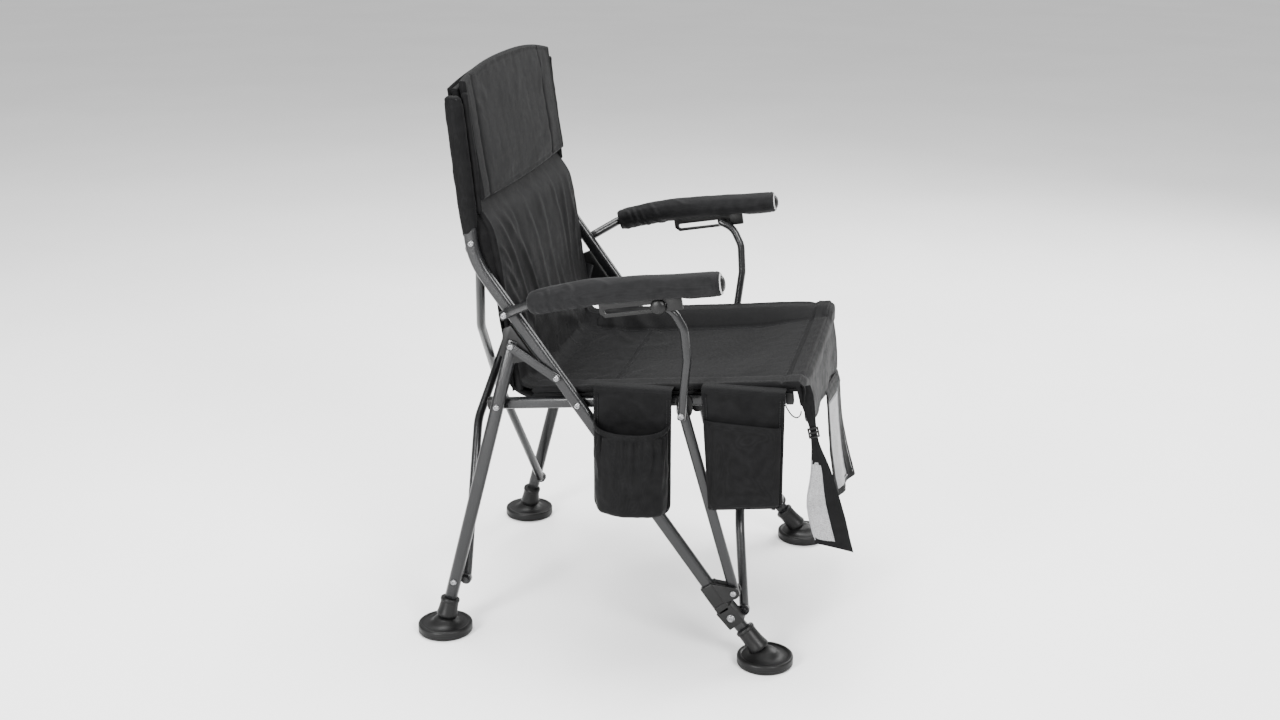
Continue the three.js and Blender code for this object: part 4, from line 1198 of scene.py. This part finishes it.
def pocket_back(y_span, z_span, corner, seed, slant=0.0, foot_slope=0.0):
    """A hanging backing panel whose top turns in under the seat's edge."""
    low, high = z_span
    middle, half = sum(y_span) / 2, (y_span[1] - y_span[0]) / 2
    turn = 7
    reach = POCKET_X + WALL / 2 - LIP_X - turn
    run = high - low - WALL / 2 - turn
    total = run + turn * math.pi / 2 + reach

    def surface(U, V):
        s = V * total
        bend = np.clip((s - run) / turn, 0, math.pi / 2)
        inward = turn * (1 - np.cos(bend)) + np.clip(s - run - turn * math.pi / 2, 0, None)
        z = low + np.minimum(s, run) + turn * np.sin(bend)
        narrow = half - corner * (1 - np.sqrt(np.clip(1 - (1 - np.clip(s / corner, 0, 1)) ** 2, 0, 1)))
        rise = np.clip(s / run, 0, 1)
        y = middle + (2 * U - 1) * narrow - slant * U * (1 - rise)
        z = z + foot_slope * (1 - 2 * U) * (1 - rise) ** 2
        hang = np.clip(s / 40, 0, 1) * np.clip((run - s) / 30, 0, 1)
        x = POCKET_X + WALL / 2 - inward + 1.1 * hang * rumple(np.stack([y, z, 0 * z], -1), 120, seed)
        return np.stack([-x, y, z], -1)

    return surface, total


def loft(controls, values):
    """Smooth curve through rows of controls, the first column being the parameter."""
    line = smooth_line(np.asarray(controls, float), 8)
    return [np.interp(values, line[:, 0], line[:, k]) for k in range(1, line.shape[1])]


def cup_front(U, V):
    depth, z, half = loft([(0, 0.5, 265, 46), (0.1, 24, 263.4, 51), (0.19, 39, 267, 56),
                           (0.28, 44.5, 279, 59), (0.5, 46.5, 318, 60.6),
                           (0.75, 45, 366, 60.8), (0.9, 41, 396, 61), (1, 39.5, 410, 61)], V)
    z = z + (12 * (2 * U - 1) ** 2 - 1.5) * V ** 3
    angle = (U - 0.5) * math.pi * 0.995
    flatten = np.abs(np.cos(angle)) ** 0.72
    middle = sum(CUP_Y) / 2
    y = middle + half * np.sign(U - 0.5) * np.abs(np.sin(angle)) ** 0.96
    return np.stack([-(POCKET_X + WALL + 0.4 + depth * flatten), y, z], -1)


def cup_relief(S, U, V, edge):
    mouth = CUP_MOUTH + 6.5 + 12 * (2 * U - 1) ** 2
    below = np.clip(mouth - 9 - S[..., 2], 0, None)
    around = (U - 0.5) * 175
    fade = np.exp(-(below / 34) ** 1.4) * np.clip(below / 2.5, 0, 1)
    phase = around / 4.6 + 0.9 * np.sin(around / 13) + 0.5 * np.sin(around / 6.1 + 2)
    height = 7.4 * (np.abs(np.sin(phase)) ** 0.8 - 0.6) * fade * (0.7 + 0.3 * np.sin(around / 8.3 + 1))
    long_folds = fold_lines([((-30, 392), (-18, 300), 2.8, 6, 4), ((8, 392), (16, 290), 3.2, 7, -4),
                             ((40, 392), (30, 330), 2.6, 5, 3), ((-58, 392), (-50, 320), 1.6, 5, 2),
                             ((66, 392), (60, 300), 1.6, 6, -2), ((-40, 300), (0, 262), 1.4, 9, 3),
                             ((-4, 345), (-6, 262), 1.3, 10, 0)])
    height += long_folds(around, S[..., 2])
    height += 1.3 * rumple(np.stack([around, S[..., 2], 0 * U], -1), 55, 81)
    band = 1 / (1 + np.exp(-(S[..., 2] - mouth + 9) / 0.6))
    crimp = 0.35 * np.sin(around / 1.5)
    return height * (1 - band) + band * (1.3 + crimp) - 1.2 * bump_at(S[..., 2] - mouth + 10, 0.9)


def flat_front(U, V):
    y0, y1 = FLAT_Y[0] + 5, FLAT_Y[1] - 5
    y = y0 + (y1 - y0) * U
    mouth = FLAT_MOUTH - 5 * (1 - U)
    z = FLAT_Z[0] + 3 + (mouth - FLAT_Z[0] - 3) * V + 7 * (1 - 2 * U) * (1 - V) ** 2
    y = y - 13 * U * (1 - V) * 0.8
    side = np.clip(np.minimum(U, 1 - U) * (y1 - y0) / 11, 0, 1)
    side = np.sqrt(np.clip(1 - (1 - side) ** 2, 0, 1))
    foot = np.clip((mouth - FLAT_Z[0] - 3) * V / 10, 0, 1)
    foot = np.sqrt(np.clip(1 - (1 - foot) ** 2, 0, 1))
    out = 1.6 + (6.6 + 2.4 * V + 1.8 * np.sin(math.pi * U)) * side * foot
    return np.stack([-(POCKET_X + WALL + out), y, z], -1)


def flat_relief(S, U, V, edge):
    y, z = S[..., 1], S[..., 2]
    pleat = FLAT_Y[1] - 21
    height = 1.6 / (1 + np.exp((y - pleat) / 0.8)) - 0.8 - 1.5 * bump_at(y - pleat - 1.4, 1.2)
    height += fold_lines([((-190, 300), (-200, 400), 1.6, 6, 5), ((-285, 415), (-225, 395), 1.1, 8, 3),
                          ((-290, 300), (-240, 340), 1.0, 9, 2)])(y, z)
    height += 0.9 * rumple(np.stack([y, z, 0 * y], -1), 80, 85)
    hem = FLAT_MOUTH - 5 * (1 - U) - z
    height += 0.8 / (1 + np.exp((hem - 9) / 0.5)) - 0.8 * bump_at(hem - 9.6, 0.9)
    return height * np.clip(edge / 4, 0.15, 1)


def inside_out(shape):
    """Turns a slab's relief side to the other side by reversing its first parameter."""
    return lambda U, V: shape(1 - U, V)


def uv_line(surface, us, vs, lift, outward):
    """Points on a surface at given parameters, lifted along its normal, with the normals."""
    us, vs = (np.broadcast_to(np.asarray(a, float), np.broadcast(us, vs).shape) for a in (us, vs))
    here = surface(us, vs)
    du = surface(np.clip(us + 1e-3, 0, 1), vs) - surface(np.clip(us - 1e-3, 0, 1), vs)
    dv = surface(us, np.clip(vs + 1e-3, 0, 1)) - surface(us, np.clip(vs - 1e-3, 0, 1))
    normal = unit(np.cross(du, dv))
    normal = normal * np.sign(normal @ np.asarray(outward, float))[:, None]
    return here + normal * lift, normal


OUT = (-1, 0, 0)
cup_back, cup_run = pocket_back(CUP_Y, CUP_Z, 16, 82)
flat_back, flat_run = pocket_back(FLAT_Y, FLAT_Z, 5, 86, 15.0, 7.0)


def pocket_part(name, surface, size, step, thick, relief, replaces=()):
    shape = cloth_slab(surface, size, step, thick, relief, 1.2, both=True)
    return cloth(name, shape, CLOTH, "seat", replaces, ON_RIGHT_RAIL)


cup_backing = pocket_part("cup_pocket_backing", cup_back, (CUP_Y[1] - CUP_Y[0], cup_run), 5, 1.8,
                          uneven(0.25, 30, 83), ("cup_pocket",))
pocket_part("cup_pocket_pouch", inside_out(cup_front), (175, 175), 1.9, 1.7, cup_relief)
flat_backing = pocket_part("flat_pocket_backing", flat_back, (FLAT_Y[1] - FLAT_Y[0], flat_run), 5, 1.8,
                           uneven(0.3, 30, 87), ("flat_pocket",))
pocket_part("flat_pocket_pouch", inside_out(flat_front), (126, 140), 2.4, 1.7, flat_relief)

for label, surface in (("cup", cup_back), ("flat", flat_back)):
    top = 0.86
    down = np.linspace(top, 0.004, 90)
    across = np.linspace(0.035, 0.965, 40)
    us = np.concatenate([np.full(90, 0.035), across, np.full(90, 0.965)])
    vs = np.concatenate([down, np.full(40, 0.012), down[::-1]])
    line, normals = uv_line(surface, us, vs, 0.9, OUT)
    keep = np.concatenate([[True], np.linalg.norm(np.diff(line, axis=0), axis=1) > 0.3])
    line, normals = line[keep], normals[keep]
    tape(f"{label}_pocket_binding", line, normals, 9, 1.5, "seat", ON_RIGHT_RAIL)
    for offset in (-2.6, 2.6):
        edge_side = unit(np.cross(np.gradient(line, axis=0), normals))
        stitches(f"{label}_pocket_stitch_{'inner' if offset < 0 else 'outer'}",
                 line + edge_side * offset + normals * 0.8, normals, "seat", ON_RIGHT_RAIL)

# ---------------------------------------------------------------- skirt and hanging flaps
SKIRT = [((-238, -327, 478), (238, -327, 478)), ((-236, -333, 430), (240, -335, 425)),
         ((-150, -334, 392), (243, -337, 360))]
FLAP_LEFT = [((45, -340, 377), (243, -345, 350)), ((70, -350, 265), (244, -356, 250)),
             ((100, -364, 158), (245, -378, 152))]
FLAP_RIGHT = [((-246, -322, 466), (-243, -346, 464)), ((-246, -342, 408), (-241, -354, 398)),
              ((-245, -345, 345), (-224, -376, 336)),
              ((-243, -341, 278), (-206, -399, 258)), ((-238, -357, 213), (-190, -418, 181))]


def hanging(rows, u_span=(0, 1), v_span=(0, 1), sway=0.0, waves=1.0, seed=91):
    """Cloth between two smooth edges given as rows of [left, right] points, top row first."""
    v = np.linspace(0, 1, len(rows))
    edges = [np.column_stack([v, [row[k] for row in rows]]) for k in (0, 1)]

    def surface(U, V):
        u = u_span[0] + (u_span[1] - u_span[0]) * U
        down = v_span[0] + (v_span[1] - v_span[0]) * V
        left, right = (np.stack(loft(edge, down), -1) for edge in edges)
        base = left + (right - left) * u[..., None]
        wave = sway * down * np.sin(2 * math.pi * waves * u + 2.2 * down)
        wave = wave + 0.35 * sway * down * rumple(base, 90, seed)
        return base + np.stack([0.15 * wave, wave, 0 * wave], -1)

    return surface


def hem(width, height=0.5):
    return lambda S, U, V, edge: 0.3 * rumple(S, 28, 93) + sewn_edge(edge, width, height)


def flap_part(name, rows, u_span, v_span, size, thick, material, replaces=(), **fall):
    surface = hanging(rows, u_span, v_span, **fall)
    squash = ON_RIGHT_RAIL if rows is FLAP_RIGHT else ACROSS
    shape = cloth_slab(surface, size, 3.2, thick, hem(6, 0.3), 1.0, both=True)
    return cloth(name, shape, material, "seat", replaces, squash), surface


skirt, _ = flap_part("front_skirt_cloth", SKIRT, (0, 1), (0, 1), (440, 95), 2.0, CLOTH, ("front_skirt",),
                     sway=2.5, waves=2.5)
far_fall = {"sway": 4.0, "waves": 1.4, "seed": 94}
far_net, far_surface = flap_part("flap_left_net", FLAP_LEFT, (0.02, 0.98), (0.01, 0.99), (165, 205), 0.9,
                                 NET, ("flap_left",), **far_fall)
for label, u_span, v_span, size in (
    ("outer", (0.74, 1), (0, 1), (42, 208)), ("inner", (0, 0.1), (0, 1), (18, 208)),
    ("top", (0.05, 0.8), (0, 0.09), (130, 19)), ("bottom", (0.05, 0.8), (0.93, 1), (110, 15)),
):
    flap_part(f"flap_left_{label}_border", FLAP_LEFT, u_span, v_span, size, 2.3, CLOTH, **far_fall)
HEADER = [((43, -336, 388), (244, -340, 364)), ((46, -343, 368), (243, -347, 341))]
flap_part("flap_left_header", HEADER, (0, 1), (0, 1), (200, 26), 2.3, CLOTH)
near_fall = {"sway": 2.6, "waves": 0.8, "seed": 95}
near_net, near_surface = flap_part("flap_right_net", FLAP_RIGHT, (0.02, 0.54), (0.42, 0.985), (30, 160),
                                   0.9, NET, **near_fall)
near_band, _ = flap_part("flap_right_band", FLAP_RIGHT, (0.5, 1), (0.0, 1), (32, 290), 2.3, CLOTH,
                         ("flap_right",), **near_fall)
flap_part("flap_right_strap", FLAP_RIGHT, (0, 0.62), (0, 0.46), (14, 130), 2.0, CLOTH, **near_fall)
flap_part("flap_right_hem", FLAP_RIGHT, (0, 0.62), (0.955, 1), (40, 13), 2.2, CLOTH, **near_fall)
FORWARD = (-0.5, -1, 0)


def piping(name, surface, us, vs, squash):
    line, _ = uv_line(surface, us, vs, 0.6, FORWARD)
    piece(name, sweep_mesh(line, circle(1.0, 10), across=(0.1, 0.2, 1)), PIPING, "seat", squash=squash)


piping("flap_right_piping", near_surface, 0.01, np.linspace(0.02, 0.98, 60), ON_RIGHT_RAIL)
piping("flap_left_piping_outer", far_surface, 0.735, np.linspace(0.05, 0.96, 60), ACROSS)
piping("flap_left_piping_top", far_surface, np.linspace(0.06, 0.74, 50), 0.095, ACROSS)

# Ladder-lock buckle on the near strap: a frame with two bars.
buckle_line, buckle_normal = uv_line(hanging(FLAP_RIGHT, **near_fall), 0.5, (0.19, 0.22, 0.25), 2.6,
                                     (-1, -0.4, 0))
centre, down, face = buckle_line[1], unit(buckle_line[2] - buckle_line[0]), buckle_normal[1]
wide = unit(np.cross(down, face))


def bar_between(a, b, width, thick):
    a, b = np.asarray(a, float), np.asarray(b, float)
    path = [a, a + (b - a) * 0.04, b - (b - a) * 0.04, b]
    return sweep_mesh(path, rounded(width, thick, min(width, thick) * 0.4, 3), (0.8, 1, 1, 0.8),
                      across=np.cross(b - a, face))


bars = []
for along, reach, offsets, thick in ((down, wide * 7.6, (-7.5, 0, 7.5), (3.2, 3.2)),
                                     (wide, down * 8.8, (-7.6, 7.6), (3.0, 3.6))):
    for offset in offsets:
        middle = centre + along * offset
        bars.append(bar_between(middle - reach, middle + reach, *thick))
piece("strap_buckle", merged(bars), JOINT, "seat", squash=ON_RIGHT_RAIL)

# ---------------------------------------------------------------- stitching and bindings on the seat
def seat_top(x, y):
    return seat_middle(x, y) + PAD_UNDER + PAD_T


def front_wrap(U, V):
    """Binding from the seat's top over its front edge and down onto the skirt."""
    x = -253 + 506 * U
    top = seat_top(x, np.full_like(x, -316)) - 2.6
    y, drop = loft([(0, -300, 0.2), (0.3, -316, 0.4), (0.52, -326, 3.2), (0.66, -330, 10), (1, -330.5, 34)],
                   V)
    return np.stack([x, y, top - drop], -1)


binding_shape = cloth_slab(front_wrap, (506, 62), 3.2, 2.2,
                           lambda S, U, V, e: 0.5 * rumple(S, 45, 97) + sewn_edge(e, 5, 0.3), 1.1, both=True)
cloth("seat_front_binding", binding_shape, CLOTH, "seat", (), ACROSS)
TAB = [((-252, -316, 488), (-238, -338, 488)), ((-250, -320, 474), (-241, -344, 472)),
       ((-246, -324, 455), (-243, -346, 452))]
cloth("flap_right_tab", cloth_slab(hanging(TAB), (28, 36), 2.4, 2.2, hem(4, 0.3), 1.0, both=True), CLOTH,
      "seat", (), ON_RIGHT_RAIL)


def seat_line(x, y, lift=0.35):
    x, y = np.broadcast_arrays(np.asarray(x, float), np.asarray(y, float))
    flat = np.stack([x, y, seat_middle(x, y)], -1)
    z = seat_top(x, y) - 0.75 + seat_relief(flat, 0 * x, 0 * x, np.full_like(x, 60.0)) + lift
    normal = np.stack([0 * x, 0 * x, 0 * x + 1], -1)
    return np.stack([x, y, z], -1), normal


ys = np.linspace(SEAT_FRONT + 34, SEAT_REAR - 12, 160)
xs = np.linspace(-SEAT_SEAM_X + 6, SEAT_SEAM_X - 6, 140)
for label, sx in (("left", 1), ("right", -1)):
    for row, offset in (("inner", -4.2), ("outer", 4.2)):
        stitches(f"seat_stitch_{label}_{row}", *seat_line(sx * (SEAT_SEAM_X + offset), ys), "seat", ACROSS)
for row, offset in (("front", SEAT_FRONT + 34.4), ("middle", 12.2), ("middle_rear", 3.8)):
    stitches(f"seat_stitch_{row}", *seat_line(xs, offset), "seat", ACROSS)
